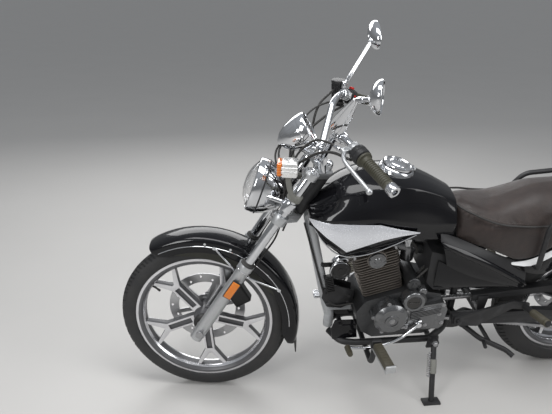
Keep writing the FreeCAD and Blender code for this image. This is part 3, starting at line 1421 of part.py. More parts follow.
def brake_pedal():
    z = cradle_z - side_tube_r - 10.0 - seat_gap
    hub = sleeve(Vector(806.0, -104.0, z), Vector(806.0, -124.0, z), 17.0, 10.0 + bore_gap)
    arm = tube([(820.0, -114.0, z - 4.0), (880.0, -150.0, z - 2.0), (930.0, -186.0, 212.0)], 6.5, 60.0)
    pad = Part.makeBox(52.0, 44.0, 12.0, Vector(906.0, -210.0, 212.0))
    pad = pad.makeFillet(4.0, pad.Edges)
    return fused([hub, arm, pad])


def passenger_pegs():
    px, pz = pivot_point[0], pivot_point[2]
    y0 = arm_half + arm_w / 2 + seat_gap
    arm = plate([(px + 16.0, pz - 16.0), (px + 16.0, pz + 16.0), (300.0, 398.0), (238.0, 382.0), (236.0, 356.0),
                 (300.0, 364.0), (420.0, 292.0)], y0, y0 + 9.0)
    arm = arm.cut(rod((px, 0, pz), (px, 200.0, pz), pivot_r + bore_gap))
    peg = rod((254.0, y0 + 6.0, 368.0), (240.0, 258.0, 402.0), 11.0)
    return both_sides(arm.fuse(peg))


# Stands
def side_stand():
    back = body_place.inverse()
    world = body_place.multVec(Vector(side_foot_x, side_foot_out, 40.0))
    foot_top = back.multVec(Vector(world.x, world.y, 7.0))
    sole = Part.makeBox(62.0, 36.0, 8.0, Vector(world.x - 30.0, world.y - 18.0, 0.0))
    sole.Placement = back.multiply(sole.Placement)
    hinge = vec(side_pivot)
    leg = rod(hinge + Vector(3.0, 20.0, -14.0), foot_top, 10.0)
    knee = rod(hinge + Vector(0, 0.5 * stand_eye_t, 0), hinge + Vector(3.0, 20.0, -14.0), 8.0)
    joint = Part.makeSphere(10.0, hinge + Vector(3.0, 20.0, -14.0))
    eye = Part.makeCylinder(16.0, stand_eye_t, hinge, Vector(0, 1, 0))
    body = fused([eye, knee, joint, leg, sole])
    return body.cut(rod(hinge - Vector(0, 10.0, 0), hinge + Vector(0, stand_eye_t + 8.0, 0), stand_pin_r + bore_gap))


def centre_stand():
    # folded up behind its pivot, legs trailing rearwards
    px, pz = centre_pivot[0], centre_pivot[2]
    down = math.sin(math.radians(centre_fold_deg))
    run = math.cos(math.radians(centre_fold_deg))
    sleeve_r = stand_pin_r + 6.0

    def along(t, y):
        return (px - t * run, y, pz - t * down)

    pieces = [rod((px, -centre_sleeve_half, pz), (px, centre_sleeve_half, pz), sleeve_r)]
    for side in (-1, 1):
        pieces.append(tube([along(0, side * 30.0), along(44.0, side * 32.0), along(104.0, side * centre_leg_half),
                            along(centre_leg_len, side * (centre_leg_half + 16.0)),
                            along(centre_leg_len + 20.0, side * (centre_leg_half + 40.0))], 10.0, 60.0))
    pieces.append(rod(along(150.0, -centre_leg_half), along(150.0, centre_leg_half), 8.0))
    # the foot pedal for the rider's heel, on the left leg
    pieces.append(rod(along(120.0, centre_leg_half), along(108.0, centre_leg_half + 46.0), 7.0))
    body = fused(pieces)
    return body.cut(rod((px, -100.0, pz), (px, 100.0, pz), stand_pin_r + bore_gap))


# Cables and hoses
def clutch_cable():
    # down the left flank of the down tube, then back to the crankcase
    y = down_tube_r + 3.5 + seat_gap
    case_x = 858.0 + seat_gap
    pts = [(1052.0, y, 690.0), (960.0, y, 372.0), (925.0, y + 4.0, 332.0), (case_x, y + 14.0, 350.0)]
    return tube(pts, 3.5, 60.0)


def brake_hose():
    # from the master cylinder on the right perch, down behind the right leg, to the caliper
    seat = on_grip(hose_seat() + 2.0 + seat_gap) + lever_way().normalize() * 34.0
    out = -(fork_half + 34.0)
    down = caliper_top(seat_gap)
    rise = caliper_top(46.0)
    pts = [(seat.x, -seat.y, seat.z + 6.0), (1034.0, -152.0, 1036.0),
           tuple(on_leg(640.0, out, -22.0)), tuple(on_leg(330.0, out, -24.0)),
           tuple(on_leg(240.0, -84.0, -40.0)), tuple(rise), tuple(down)]
    return tube(pts, 4.0, 80.0)


fork_nodes = {
    "steering_yokes": steering_yokes,
    "fork_tubes": fork_tubes,
    "fork_lowers": fork_lowers,
    "front_axle": front_axle_rod,
    "handlebar": handlebar,
    "grips": lambda: Part.makeCompound([grips(), bar_ends()]),
    "hand_controls": hand_controls,
    "mirrors": mirrors,
    "headlight_shell": headlight_shell,
    "headlight_lens": headlight_lens,
    "front_signals": lambda: Part.makeCompound([front_signals(), front_reflectors()]),
    "instrument": instrument,
    "front_fender": front_fender,
    "front_caliper": front_caliper,
    "brake_hose": brake_hose,
}
chassis_nodes = {
    "frame": frame,
    "down_tube": down_tube,
    "crankcase": crankcase,
    "engine_covers": lambda: Part.makeCompound([left_cover(), right_cover()]),
    "cylinder": cylinder,
    "cylinder_head": cylinder_head,
    "carburettor": carburettor,
    "airbox": airbox,
    "exhaust": exhaust,
    "fuel_tank": fuel_tank,
    "tank_panels": tank_panels,
    "seat": seat,
    "side_covers": side_covers,
    "tail_cowl": tail_cowl,
    "rear_fender": rear_fender,
    "rear_lamps": lambda: Part.makeCompound([tail_lamp(), rear_signals()]),
    "grab_rail": grab_rail,
    "swingarm": swingarm,
    "rear_axle": rear_axle_rod,
    "shock_absorbers": shocks,
    "shock_springs": shock_springs,
    "drive_chain": lambda: Part.makeCompound([drive_chain(), gearbox_sprocket()]),
    "chain_guard": chain_guard,
    "rear_caliper": rear_caliper,
    "foot_controls": lambda: Part.makeCompound([foot_pegs(), shift_lever(), brake_pedal()]),
    "passenger_pegs": passenger_pegs,
    "clutch_cable": clutch_cable,
    "fuel_cap": fuel_cap,
    "side_stand": side_stand,
    "centre_stand": centre_stand,
}


def front_wheel_nodes():
    wheel = cast_wheel(front_rim_r, front_seat_r, front_rim_half, front_hub_half, front_spoke_phase_deg, 13.0)
    return {
        "front_tyre": at_axle(tyre(front_tyre_r, front_tyre_half, front_rim_r, front_seat_r, front_rim_half),
                              front_axle),
        "front_wheel": at_axle(wheel, front_axle),
        "front_disc": at_axle(brake_disc(front_disc_r, front_disc_y, -front_hub_half - 0.3), front_axle),
    }


def rear_wheel_nodes():
    wheel = cast_wheel(rear_rim_r, rear_seat_r, rear_rim_half, rear_hub_half, rear_spoke_phase_deg, 15.0)
    return {
        "rear_tyre": at_axle(tyre(rear_tyre_r, rear_tyre_half, rear_rim_r, rear_seat_r, rear_rim_half), rear_axle),
        "rear_wheel": at_axle(wheel, rear_axle),
        "rear_disc": at_axle(brake_disc(rear_disc_r, rear_disc_y, -rear_hub_half - 0.3), rear_axle),
        "rear_sprocket": rear_sprocket(),
    }


def main():
    os.makedirs("parts", exist_ok=True)
    made = {}
    for name, maker in fork_nodes.items():
        made[name] = (maker(), fork_place)
    for name, maker in chassis_nodes.items():
        made[name] = (maker(), body_place)
    for name, shape in front_wheel_nodes().items():
        made[name] = (shape, fork_place)
    for name, shape in rear_wheel_nodes().items():
        made[name] = (shape, body_place)
    placed = {}
    for name, (shape, place) in made.items():
        copy = shape.copy()
        copy.Placement = place.multiply(copy.Placement)
        placed[name] = copy
    corners = [Vector(1e9, 1e9, 1e9), Vector(-1e9, -1e9, -1e9)]
    total = 0
    for name, shape in placed.items():
        points, facets = shape.tessellate(0.5)
        total += len(facets)
        for p in points:
            for i in range(3):
                corners[0][i] = min(corners[0][i], p[i])
                corners[1][i] = max(corners[1][i], p[i])
        print(name, len(facets), len(shape.Solids), shape.isValid(), round(shape.Volume / 1000.0, 1))
    shift = Vector(-(corners[0].x + corners[1].x) / 2, -(corners[0].y + corners[1].y) / 2, 0)
    for name, shape in placed.items():
        shape.translate(shift)
        shape.exportStep("parts/" + name + ".step")
    print("facets", total)
    print("size", corners[1] - corners[0], "low", corners[0].z)
    # joints in the row's frame: name, point, axis, all in metres
    for name, place, point, axis in (
        ("steering", body_place, steer_base, steer_axis),
        ("front_wheel_spin", fork_place, front_axle, Vector(0, 1, 0)),
        ("rear_wheel_spin", body_place, rear_axle, Vector(0, 1, 0)),
        ("side_stand_fold", body_place, vec(side_pivot), Vector(0, 1, 0)),
        ("centre_stand_fold", body_place, vec(centre_pivot), Vector(0, 1, 0)),
        ("fuel_cap_lid", body_place, cap_place(0.0).multVec(Vector(cap_hinge[0], 0, cap_hinge[1])), Vector(0, 1, 0)),
    ):
        spot = (place.multVec(point) + shift) * 0.001
        way = place.Rotation.multVec(axis)
        print("joint", name, *[round(v, 6) for v in (*spot, *way)])


main()
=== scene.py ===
import json
import math
import bpy
from mathutils import Matrix, Vector


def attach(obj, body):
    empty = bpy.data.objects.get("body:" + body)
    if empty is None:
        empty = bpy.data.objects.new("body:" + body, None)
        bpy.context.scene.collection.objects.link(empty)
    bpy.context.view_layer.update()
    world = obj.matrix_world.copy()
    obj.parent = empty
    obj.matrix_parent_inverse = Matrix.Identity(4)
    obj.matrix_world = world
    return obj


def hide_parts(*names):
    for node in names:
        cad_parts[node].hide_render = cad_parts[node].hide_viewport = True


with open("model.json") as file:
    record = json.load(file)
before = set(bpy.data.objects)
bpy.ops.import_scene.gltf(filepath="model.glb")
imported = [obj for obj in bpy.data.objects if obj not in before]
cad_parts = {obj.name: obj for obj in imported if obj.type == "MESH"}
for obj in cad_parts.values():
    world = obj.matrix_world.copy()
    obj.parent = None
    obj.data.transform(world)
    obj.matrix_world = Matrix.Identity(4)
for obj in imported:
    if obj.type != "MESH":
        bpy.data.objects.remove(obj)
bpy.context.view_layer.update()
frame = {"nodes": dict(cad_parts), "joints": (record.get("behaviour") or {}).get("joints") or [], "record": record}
print("frame loaded:", len(frame["nodes"]), "nodes")

# All sizes below are millimetres on the upright machine: x forward from the rear axle,
# y to its left, z up from the ground. Front end pieces are drawn with the wheel straight.
mm = 0.001
stance = {"wheelbase": 1385, "rakeDeg": 30, "offset": 50, "frontRadius": 298, "rearRadius": 302}
axles = {"front": (stance["wheelbase"], stance["frontRadius"]), "rear": (0, stance["rearRadius"])}
sides = ((1, "_left"), (-1, "_right"))
joints = {row["name"]: row for row in frame["joints"]}


def shift(point):
    return Matrix.Translation(Vector(point) * mm)


def turned(degrees, axis):
    return Matrix.Rotation(math.radians(degrees), 4, axis)


def axes(*ways):
    # matrix whose columns are three square directions
    return Matrix(ways).transposed().to_4x4()


def machineAxes(wheel):
    # matrix from the upright machine, in metres, to the place where this body stands
    joint = joints[wheel + "_wheel_spin"]
    axleX, axleZ = axles[wheel]
    across = Vector(joint["axis"]).normalized()
    steer = Vector(joints["steering"]["axis"]).normalized()
    ahead = across.cross(steer).normalized()
    rake = math.radians(stance["rakeDeg"])
    forward = ahead * math.cos(rake) - steer * math.sin(rake)
    up = steer * math.cos(rake) + ahead * math.sin(rake)
    origin = Vector(joint["pos_m"]) - forward * (axleX * mm) - up * (axleZ * mm)
    return Matrix.Translation(origin) @ axes(forward, across, up)


chassisPlace, forkPlace = machineAxes("rear"), machineAxes("front")
places = {"front_end": forkPlace, "front_roller": forkPlace}


# Helpers for modelling
def solo(obj):
    if bpy.context.object and bpy.context.object.mode != "OBJECT":
        bpy.ops.object.mode_set(mode="OBJECT")
    bpy.ops.object.select_all(action="DESELECT")
    obj.select_set(True)
    bpy.context.view_layer.objects.active = obj


def added(primitive, **values):
    bpy.ops.object.select_all(action="DESELECT")
    primitive(**values)
    return bpy.context.object


def edit(obj, *steps):
    # runs mesh operators, each with its values, on the whole mesh
    solo(obj)
    bpy.ops.object.mode_set(mode="EDIT")
    bpy.ops.mesh.select_all(action="SELECT")
    for step, values in steps:
        step(**values)
    bpy.ops.object.mode_set(mode="OBJECT")
    return obj


def tidy(obj, distance=0.00005):
    # doubles merged and faces turned outwards
    return edit(obj, (bpy.ops.mesh.remove_doubles, {"threshold": distance}),
                (bpy.ops.mesh.normals_make_consistent, {"inside": False}))


def faceOut(obj, outward):
    # turns the faces round where most of them point inwards
    if sum(outward(face) for face in obj.data.polygons) < 0:
        edit(obj, (bpy.ops.mesh.flip_normals, {}))


def modify(obj, kind, **values):
    solo(obj)
    made = obj.modifiers.new(kind.lower(), kind)
    for key, value in values.items():
        setattr(made, key, value)
    bpy.ops.object.modifier_apply(modifier=made.name)
    return obj


def soften(obj, width=0.8, segments=2, angle=35):
    return modify(obj, "BEVEL", width=width * mm, segments=segments, limit_method="ANGLE",
                  angle_limit=math.radians(angle), use_clamp_overlap=True)


def thicken(obj, thick, offset=-1):
    return modify(obj, "SOLIDIFY", thickness=thick * mm, offset=offset)


def mirrored(obj):
    return modify(obj, "MIRROR", use_axis=(False, True, False), merge_threshold=0.0004)


def joined(*parts):
    # one object of several, with the first one's name
    solo(parts[0])
    for obj in parts[1:]:
        obj.select_set(True)
    bpy.ops.object.join()
    return parts[0]


def moved(obj, matrix):
    obj.data.transform(matrix)
    return obj


def copyOf(obj, matrix):
    other = obj.copy()
    other.data = obj.data.copy()
    bpy.context.collection.objects.link(other)
    return moved(other, matrix)


def lathe(profile, segments=64, centre=(0, 0, 0), axis="Y"):
    # closed outline of (radius, along), spun about the axis through the centre
    obj = added(bpy.ops.mesh.primitive_circle_add, vertices=len(profile), radius=0.1, fill_type="NOTHING")
    for point, (r, y) in zip(obj.data.vertices, profile):
        point.co = Vector((r, y, 0)) * mm
    edit(obj, (bpy.ops.mesh.spin, {"steps": segments, "angle": math.tau, "center": (0, 0, 0), "axis": (0, 1, 0)}))
    tidy(obj)
    if axis != "Y":
        moved(obj, turned(90, "X") if axis == "Z" else turned(-90, "Z"))
    return moved(obj, shift(centre))


def eased(points, steps):
    # a smooth line through the given points
    line = []
    last = len(points) - 1
    for i in range(last):
        a, b, c, d = points[max(i - 1, 0)], points[i], points[i + 1], points[min(i + 2, last)]
        for k in range(steps):
            t = k / steps
            line.append(0.5 * (2 * b + (c - a) * t + (2 * a - 5 * b + 4 * c - d) * t ** 2
                               + (3 * b - a - 3 * c + d) * t ** 3))
    line.append(points[-1])
    return line


def skin(rows, along=4, across=4):
    # a grid through rows of points; a row may hold several runs that meet at sharp creases
    lines = []
    for row in rows:
        line = []
        for run in row if isinstance(row[0], list) else [row]:
            part = eased([Vector(p) * mm for p in run], across)
            line.extend(part if not line else part[1:])
        lines.append(line)
    columns = [eased([line[j] for line in lines], along) for j in range(len(lines[0]))]
    wide, long = len(columns), len(columns[0])
    obj = added(bpy.ops.mesh.primitive_grid_add, x_subdivisions=wide - 1, y_subdivisions=long - 1, size=1)
    for k, point in enumerate(obj.data.vertices):
        point.co = columns[k % wide][k // wide]
    return obj


def creased(points):
    # the line's stretches, each a run of its own
    return [[a, b] for a, b in zip(points[:-1], points[1:])]


def pipe(points, radius, rounds=3, closed=False, resolution=8):
    # a round bar or cable along a smooth line through the points
    obj = added(bpy.ops.curve.primitive_bezier_curve_add)
    curve = obj.data
    curve.splines.clear()
    line = curve.splines.new("BEZIER")
    line.bezier_points.add(len(points) - 1)
    for knot, p in zip(line.bezier_points, points):
        knot.co = Vector(p) * mm
        knot.handle_left_type = knot.handle_right_type = "AUTO"
    line.use_cyclic_u = closed
    curve.dimensions = "3D"
    curve.bevel_depth = radius * mm
    curve.bevel_resolution = rounds
    curve.resolution_u = resolution
    curve.use_fill_caps = not closed
    solo(obj)
    bpy.ops.object.convert(target="MESH")
    return tidy(obj, 0.00001)


def roundBar(start, end, radius, sides=24, endRadius=None, bevel=0.6):
    # a straight round bar, or a cone where the ends differ
    a, b = Vector(start) * mm, Vector(end) * mm
    obj = added(bpy.ops.mesh.primitive_cone_add, vertices=sides, radius1=radius * mm,
                radius2=(radius if endRadius is None else endRadius) * mm, depth=(b - a).length)
    moved(obj, Matrix.Translation((a + b) / 2) @ (b - a).to_track_quat("Z", "Y").to_matrix().to_4x4())
    return soften(obj, bevel, 2, 50) if bevel else obj


def crossBars(spots, start, end, radius, sides=24, bevel=0.6):
    # round bars along y at these (x, z) spots
    return [roundBar((x, start, z), (x, end, z), radius, sides, bevel=bevel) for x, z in spots]


def sideBolts(spots, y, radius=5, high=4, side=1, washer=True):
    # hexagon screws on a side face, each on its washer
    made = crossBars(spots, side * (y + 0.8), side * (y + high), radius, 6)
    if washer:
        made += crossBars(spots, side * (y - 1), side * (y + 1), radius * 1.5, 20, 0.3)
    return joined(*made)


def ring(centre, radius, turns):
    # (x, z) spots round a centre, by their angles in degrees
    x, z = centre
    return [(x + radius * math.cos(a), z + radius * math.sin(a)) for a in map(math.radians, turns)]


def block(size, centre=(0, 0, 0), bevel=2, segments=3):
    # a cut and rounded block
    obj = moved(added(bpy.ops.mesh.primitive_cube_add, size=1), Matrix.Diagonal((*[v * mm for v in size], 1)))
    if bevel:
        soften(obj, bevel, segments, 50)
    return moved(obj, shift(centre))


def flatPlate(points, thick, bevel, segments=2):
    # a plate through points in one plane
    obj = added(bpy.ops.mesh.primitive_circle_add, vertices=len(points), radius=0.1, fill_type="NGON")
    for spot, point in zip(obj.data.vertices, points):
        spot.co = Vector(point) * mm
    return soften(tidy(thicken(obj, thick, 0)), bevel, segments, 40)


def aimed(obj, start, way):
    # moves a piece drawn along +Y at the origin, so that it starts here and points this way
    return moved(obj, shift(start) @ Vector(way).to_track_quat("Y", "Z").to_matrix().to_4x4())


def forkPoint(s, y, ahead=0):
    # s runs up the fork leg from the axle's height, ahead is square to it
    cos, sin = math.cos(math.radians(stance["rakeDeg"])), math.sin(math.radians(stance["rakeDeg"]))
    reach = stance["offset"] + ahead
    return (stance["wheelbase"] - cos * stance["offset"] - sin * s + cos * reach, y,
            stance["frontRadius"] - sin * stance["offset"] + cos * s + sin * reach)


# Materials, by name; the dressed solids take the record's slot through slotOf
finishes = {}


def piece(obj, name, finish, body="chassis", stands=(), angle=35, upright=True):
    # names and finishes a piece drawn on the upright machine and puts it on its body
    if upright:
        obj.matrix_world = places.get(body, chassisPlace) @ obj.matrix_world
    solo(obj)
    bpy.ops.object.transform_apply(location=True, rotation=True, scale=True)
    bpy.ops.object.shade_smooth_by_angle(angle=math.radians(angle))
    obj.name = name
    obj.data.name = name
    obj.data.materials.clear()
    obj.data.materials.append(finishes[finish])
    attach(obj, body)
    if stands:
        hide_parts(*stands)
    return obj


def frontPiece(obj, name, finish, stands=(), angle=35):
    return piece(obj, name, finish, "front_end", stands, angle)


def twoSides(obj, name, finish, body="front_end", stands=(), angle=35):
    # the piece as drawn on the left, and its mirror on the right
    other = tidy(copyOf(obj, Matrix.Diagonal((1, -1, 1, 1))))
    piece(obj, name + "_left", finish, body, stands, angle)
    piece(other, name + "_right", finish, body, (), angle)


class Wave:
    # one value inside a material; sums on it add the nodes
    def __init__(self, finish, socket):
        self.finish = finish
        self.socket = socket


def addSum(name, operation):
    setattr(Wave, "__" + name + "__", lambda a, b: a.finish.sum(operation, a, b))
    setattr(Wave, "__r" + name + "__", lambda a, b: a.finish.sum(operation, b, a))


for name, operation in (("add", "ADD"), ("sub", "SUBTRACT"), ("mul", "MULTIPLY"), ("truediv", "DIVIDE"),
                        ("gt", "GREATER_THAN"), ("lt", "LESS_THAN")):
    addSum(name, operation)


class Finish:
    # a material and the nodes that make it
    def __init__(self, name):
        self.material = finishes[name] = bpy.data.materials.new(name)
        self.material.use_nodes = True
        self.tree = self.material.node_tree
        self.tree.nodes.clear()
        self.out = self.tree.nodes.new("ShaderNodeOutputMaterial")
        self.shader = self.tree.nodes.new("ShaderNodeBsdfPrincipled")
        self.tree.links.new(self.shader.outputs[0], self.out.inputs["Surface"])
        self.point = self.add("ShaderNodeTexCoord", output="Object")

    def feed(self, socket, value):
        if isinstance(value, Wave):
            self.tree.links.new(value.socket, socket)
        else:
            socket.default_value = value

    def add(self, kind, settings=None, output=0, **inputs):
        # a node with its settings and inputs, i0 for the first one; gives one of its outputs
        node = self.tree.nodes.new(kind)
        for key, value in (settings or {}).items():
            setattr(node, key, value)
        for key, value in inputs.items():
            self.feed(node.inputs[int(key[1:])] if key[1:].isdigit() else node.inputs[key], value)
        return Wave(self, node.outputs[output])

    def sum(self, operation, a, b=0):
        return self.add("ShaderNodeMath", {"operation": operation}, i0=a, i1=b)

    def clamp(self, value, low, high):
        # runs from 0 at low to 1 at high
        return self.add("ShaderNodeMapRange", {"clamp": True}, i0=value, i1=low, i2=high, i3=0, i4=1)

    def blend(self, factor, first, second):
        # colours mixed by a factor; each is a colour or another mix
        first, second = [c if isinstance(c, Wave) else (*c, 1) for c in (first, second)]
        return self.add("ShaderNodeMix", {"data_type": "RGBA"}, 2, i0=factor, i6=first, i7=second)

    def noise(self, scale, detail=3, rough=0.5, at=None):
        return self.add("ShaderNodeTexNoise", Vector=at or self.point, Scale=scale, Detail=detail, Roughness=rough)

    def cells(self, scale):
        return self.add("ShaderNodeTexVoronoi", {"feature": "F1"}, Vector=self.point, Scale=scale)

    def local(self, matrix, centre=(0, 0)):
        # x, y, z on the upright machine in metres, x and z from a centre in millimetres
        back = matrix.inverted()
        lift = back.to_translation()
        made = [self.add("ShaderNodeVectorMath", {"operation": "DOT_PRODUCT"}, "Value", i0=self.point,
                         i1=tuple(back[i][:3])) + lift[i] for i in range(3)]
        return (made[0] - centre[0] * mm, made[1], made[2] - centre[1] * mm) if any(centre) else made

    def stretched(self, scale):
        return self.add("ShaderNodeVectorMath", {"operation": "MULTIPLY"}, i0=self.point, i1=scale)

    def surface(self, **inputs):
        for key, value in inputs.items():
            self.feed(self.shader.inputs[key.replace("_", " ")], (*value, 1) if isinstance(value, tuple) else value)

    def bump(self, height, depth, strength=1, below=None):
        # below is a coarser bump underneath, as (height, depth, strength)
        more = {}
        if below:
            more["Normal"] = self.add("ShaderNodeBump", Height=below[0], Distance=below[1] * mm, Strength=below[2])
        self.feed(self.shader.inputs["Normal"],
                  self.add("ShaderNodeBump", Height=height, Distance=depth * mm, Strength=strength, **more))


def scaled(colour, times, more=0):
    return tuple(min(1, v * times + more) for v in colour)


def glossPaint(name, colour, metallic=0, rough=0.16, flake=None):
    f = Finish(name)
    cloud = f.noise(9, 4)
    speck = f.clamp(f.noise(420, 2), 0.62, 0.72)
    base = f.blend(cloud, colour, scaled(colour, 1.3, 0.003))
    if flake:
        base = f.blend(f.clamp(f.noise(2600, 1), 0.45, 0.75), base, flake)
    f.surface(Base_Color=base, Metallic=metallic, Roughness=rough + cloud * 0.10 + speck * 0.075,
              Specular_IOR_Level=0.06, Coat_Weight=0.55, Coat_Roughness=0.03)
    f.bump(f.noise(160, 2), 0.04, 0.3)


def powderPaint(name, colour, rough=0.42, grain=0.12):
    f = Finish(name)
    worn = f.clamp(f.noise(26, 5), 0.55, 0.75)
    f.surface(Base_Color=f.blend(worn * 0.5, colour, scaled(colour, 1.6, 0.03)),
              Roughness=rough + f.noise(60) * 0.15)
    f.bump(f.noise(900, 2), grain, 0.5)


def castAlloy(name, colour, dark, rough=0.42, grain=0.25, metallic=0.85):
    f = Finish(name)
    cloud = f.noise(14, 5, 0.6)
    pits = f.clamp(f.noise(240, 4, 0.7), 0.35, 0.6)
    f.surface(Base_Color=f.blend(pits * 0.6, dark, f.blend(cloud, dark, colour)), Metallic=metallic,
              Roughness=rough + cloud * 0.18)
    f.bump(f.noise(520, 4, 0.65), grain, 0.6)


def chromePlate(name, colour, rough=0.045):
    f = Finish(name)
    haze = f.noise(12, 4)
    spots = f.clamp(f.noise(300, 2), 0.68, 0.74)
    f.surface(Base_Color=f.blend(haze * 0.35, colour, scaled(colour, 0.82)), Metallic=1,
              Roughness=rough + haze * 0.06 + spots * 0.12)
    f.bump(f.noise(40, 2), 0.02, 0.2)


def brushedSteel(name, colour, rough=0.28):
    f = Finish(name)
    line = f.noise(90, 4, 0.6, at=f.stretched((1, 1, 24)))
    f.surface(Base_Color=f.blend(f.noise(20), colour, scaled(colour, 0.7)), Metallic=1, Roughness=rough + line * 0.22)
    f.bump(line, 0.04, 0.4)


def rubberFinish(name, colour, rough=0.62, grain=0.2):
    f = Finish(name)
    dust = f.clamp(f.noise(22, 5), 0.45, 0.8)
    f.surface(Base_Color=f.blend(dust * 0.6, colour, scaled(colour, 1, 0.035)), Roughness=rough + dust * 0.2)
    f.bump(f.noise(700), grain, 0.45)


def plasticFinish(name, colour, rough=0.38):
    f = Finish(name)
    rub = f.noise(18, 4)
    f.surface(Base_Color=f.blend(rub * 0.5, colour, scaled(colour, 1.5, 0.02)), Roughness=rough + rub * 0.18,
              Specular_IOR_Level=0.3)
    f.bump(f.cells(1100), 0.12, 0.4)


def clearGlass(name):
    f = Finish(name)
    f.surface(Base_Color=(1, 1, 1), Roughness=0.02, Transmission_Weight=1, IOR=1.45)
    f.bump(f.noise(30, 1), 0.02, 0.15)


def lampPlastic(name, colour, deep, place, pitch=5):
    # coloured lens with moulded ribs
    f = Finish(name)
    rib = f.sum("PINGPONG", f.local(place)[2], pitch * mm / 2) / (pitch * mm / 2)
    f.surface(Base_Color=f.blend(rib, deep, colour), Roughness=0.12 + f.noise(30) * 0.06, Subsurface_Weight=0.15,
              Coat_Weight=0.8)
    f.bump(rib, 0.8, 0.6)


def wheelFinish(which, lip, depth):
    # cast wheel: machined lip and spoke edges over dark grey paint
    f = Finish(which + "_wheel_cast")
    x, y, z = f.local(chassisPlace if which == "rear" else forkPlace, axles[which])
    r = f.sum("SQRT", x * x + z * z)
    side = f.sum("ABSOLUTE", y)
    onFace = f.clamp(side, (depth - 1.4) * mm, (depth - 0.6) * mm) * (r < (lip - 24) * mm) * (r > 40 * mm)
    bright = f.sum("MAXIMUM", r > (lip - 9) * mm, onFace)
    cloud = f.noise(30, 4)
    dark = f.blend(cloud, (0.07, 0.07, 0.075), (0.12, 0.12, 0.125))
    shiny = f.blend(cloud, (0.62, 0.62, 0.64), (0.78, 0.78, 0.80))
    f.surface(Base_Color=f.blend(bright, dark, shiny), Metallic=0.25 + bright * 0.75,
              Roughness=0.36 - bright * 0.16 + cloud * 0.06)
    f.bump(f.noise(600), 0.06, 0.3)


def tyreRubber(which, crown, half):
    # sidewall rings and dusty rubber
    f = Finish(which + "_tyre")
    x, y, z = f.local(chassisPlace if which == "rear" else forkPlace, axles[which])
    r = f.sum("SQRT", x * x + z * z) * 1000
    wall = f.clamp(r, crown - half * 0.35, crown - half * 0.75)
    dust = f.clamp(f.noise(30, 5, 0.6), 0.42, 0.75)
    f.surface(Base_Color=f.blend(dust * 0.7, (0.016, 0.016, 0.017), (0.040, 0.038, 0.036)),
              Roughness=0.55 + dust * 0.2)
    f.bump(f.sum("PINGPONG", r, 1.4) / 1.4 * wall, 0.3, 0.35, (f.noise(900, 2), 0.2, 0.4))


def seatLeather():
    f = Finish("seat_leather")
    worn = f.clamp(f.noise(34, 5, 0.6), 0.45, 0.75)
    grain = f.cells(330)
    base = f.blend(f.noise(5), (0.012, 0.009, 0.008), (0.028, 0.017, 0.014))
    f.surface(Base_Color=f.blend(worn * 0.4, base, (0.050, 0.033, 0.027)), Roughness=0.40 + worn * 0.12 + grain * 0.1,
              Sheen_Weight=0.15, Specular_IOR_Level=0.42)
    f.bump(grain, 0.35, 0.55, (f.noise(48, 4, 0.6), 1.6, 0.5))


def printed(name, scale, first, second, rough, spread=0):
    # a plain colour with a little cloud in it
    f = Finish(name)
    f.surface(Base_Color=f.blend(f.noise(scale, 2 if spread else 3), first, second),
              Roughness=rough + f.noise(400) * spread if spread else rough)


glossPaint("black_gloss", (0.0025, 0.0025, 0.0035))
glossPaint("silver_paint", (0.62, 0.63, 0.66), 0.55, 0.22, (0.74, 0.75, 0.78))
glossPaint("white_paint", (0.78, 0.79, 0.80))
glossPaint("signal_silver", (0.72, 0.72, 0.71), 0.7, 0.18)
powderPaint("frame_black", (0.012, 0.012, 0.013))
powderPaint("frame_silver", (0.42, 0.43, 0.44), 0.36)
castAlloy("engine_alloy", (0.27, 0.274, 0.28), (0.15, 0.152, 0.156), 0.16, 0.12)
castAlloy("engine_dark", (0.135, 0.137, 0.14), (0.06, 0.061, 0.063), 0.30)
castAlloy("engine_gloss", (0.10, 0.098, 0.096), (0.06, 0.058, 0.056), 0.12, 0.05)
castAlloy("fin_alloy", (0.36, 0.325, 0.29), (0.15, 0.133, 0.118), 0.36)
castAlloy("fork_alloy", (0.62, 0.63, 0.64), (0.48, 0.49, 0.50), 0.30, 0.06)
castAlloy("caliper_black", (0.035, 0.033, 0.033), (0.012, 0.012, 0.012), 0.4, metallic=0.2)
chromePlate("chrome", (0.68, 0.69, 0.71))
chromePlate("mirror_glass", (0.70, 0.74, 0.78), 0.01)
brushedSteel("disc_steel", (0.55, 0.55, 0.56))
brushedSteel("steel", (0.45, 0.45, 0.46), 0.34)
rubberFinish("rubber", (0.018, 0.017, 0.016))
rubberFinish("grip_rubber", (0.040, 0.038, 0.024), 0.5, 0.3)
rubberFinish("peg_rubber", (0.050, 0.044, 0.028), 0.55, 0.3)
plasticFinish("black_plastic", (0.014, 0.014, 0.015))
plasticFinish("inner_guard", (0.022, 0.022, 0.017), 0.5)
plasticFinish("stalk_grey", (0.16, 0.16, 0.145), 0.5)
plasticFinish("switch_red", (0.50, 0.015, 0.01), 0.3)
plasticFinish("switch_cream", (0.62, 0.56, 0.36), 0.35)
clearGlass("lens_glass")
lampPlastic("amber_front", (0.9, 0.26, 0.02), (0.45, 0.09, 0), forkPlace)
lampPlastic("amber_rear", (0.9, 0.26, 0.02), (0.45, 0.09, 0), chassisPlace)
lampPlastic("amber_reflector", (0.85, 0.24, 0.01), (0.55, 0.12, 0), forkPlace, 3)
lampPlastic("red_lens", (0.62, 0.01, 0.01), (0.25, 0, 0), chassisPlace, 7)
wheelFinish("front", 242.5, 13)
wheelFinish("rear", 217.5, 15)
seatLeather()
printed("seat_thread", 300, (0.06, 0.05, 0.045), (0.12, 0.10, 0.09), 0.7)
printed("clock_face", 90, (0.010, 0.012, 0.018), (0.018, 0.022, 0.030), 0.45, 0.1)
printed("clock_print", 300, (0.75, 0.76, 0.74), (0.86, 0.87, 0.85), 0.5)
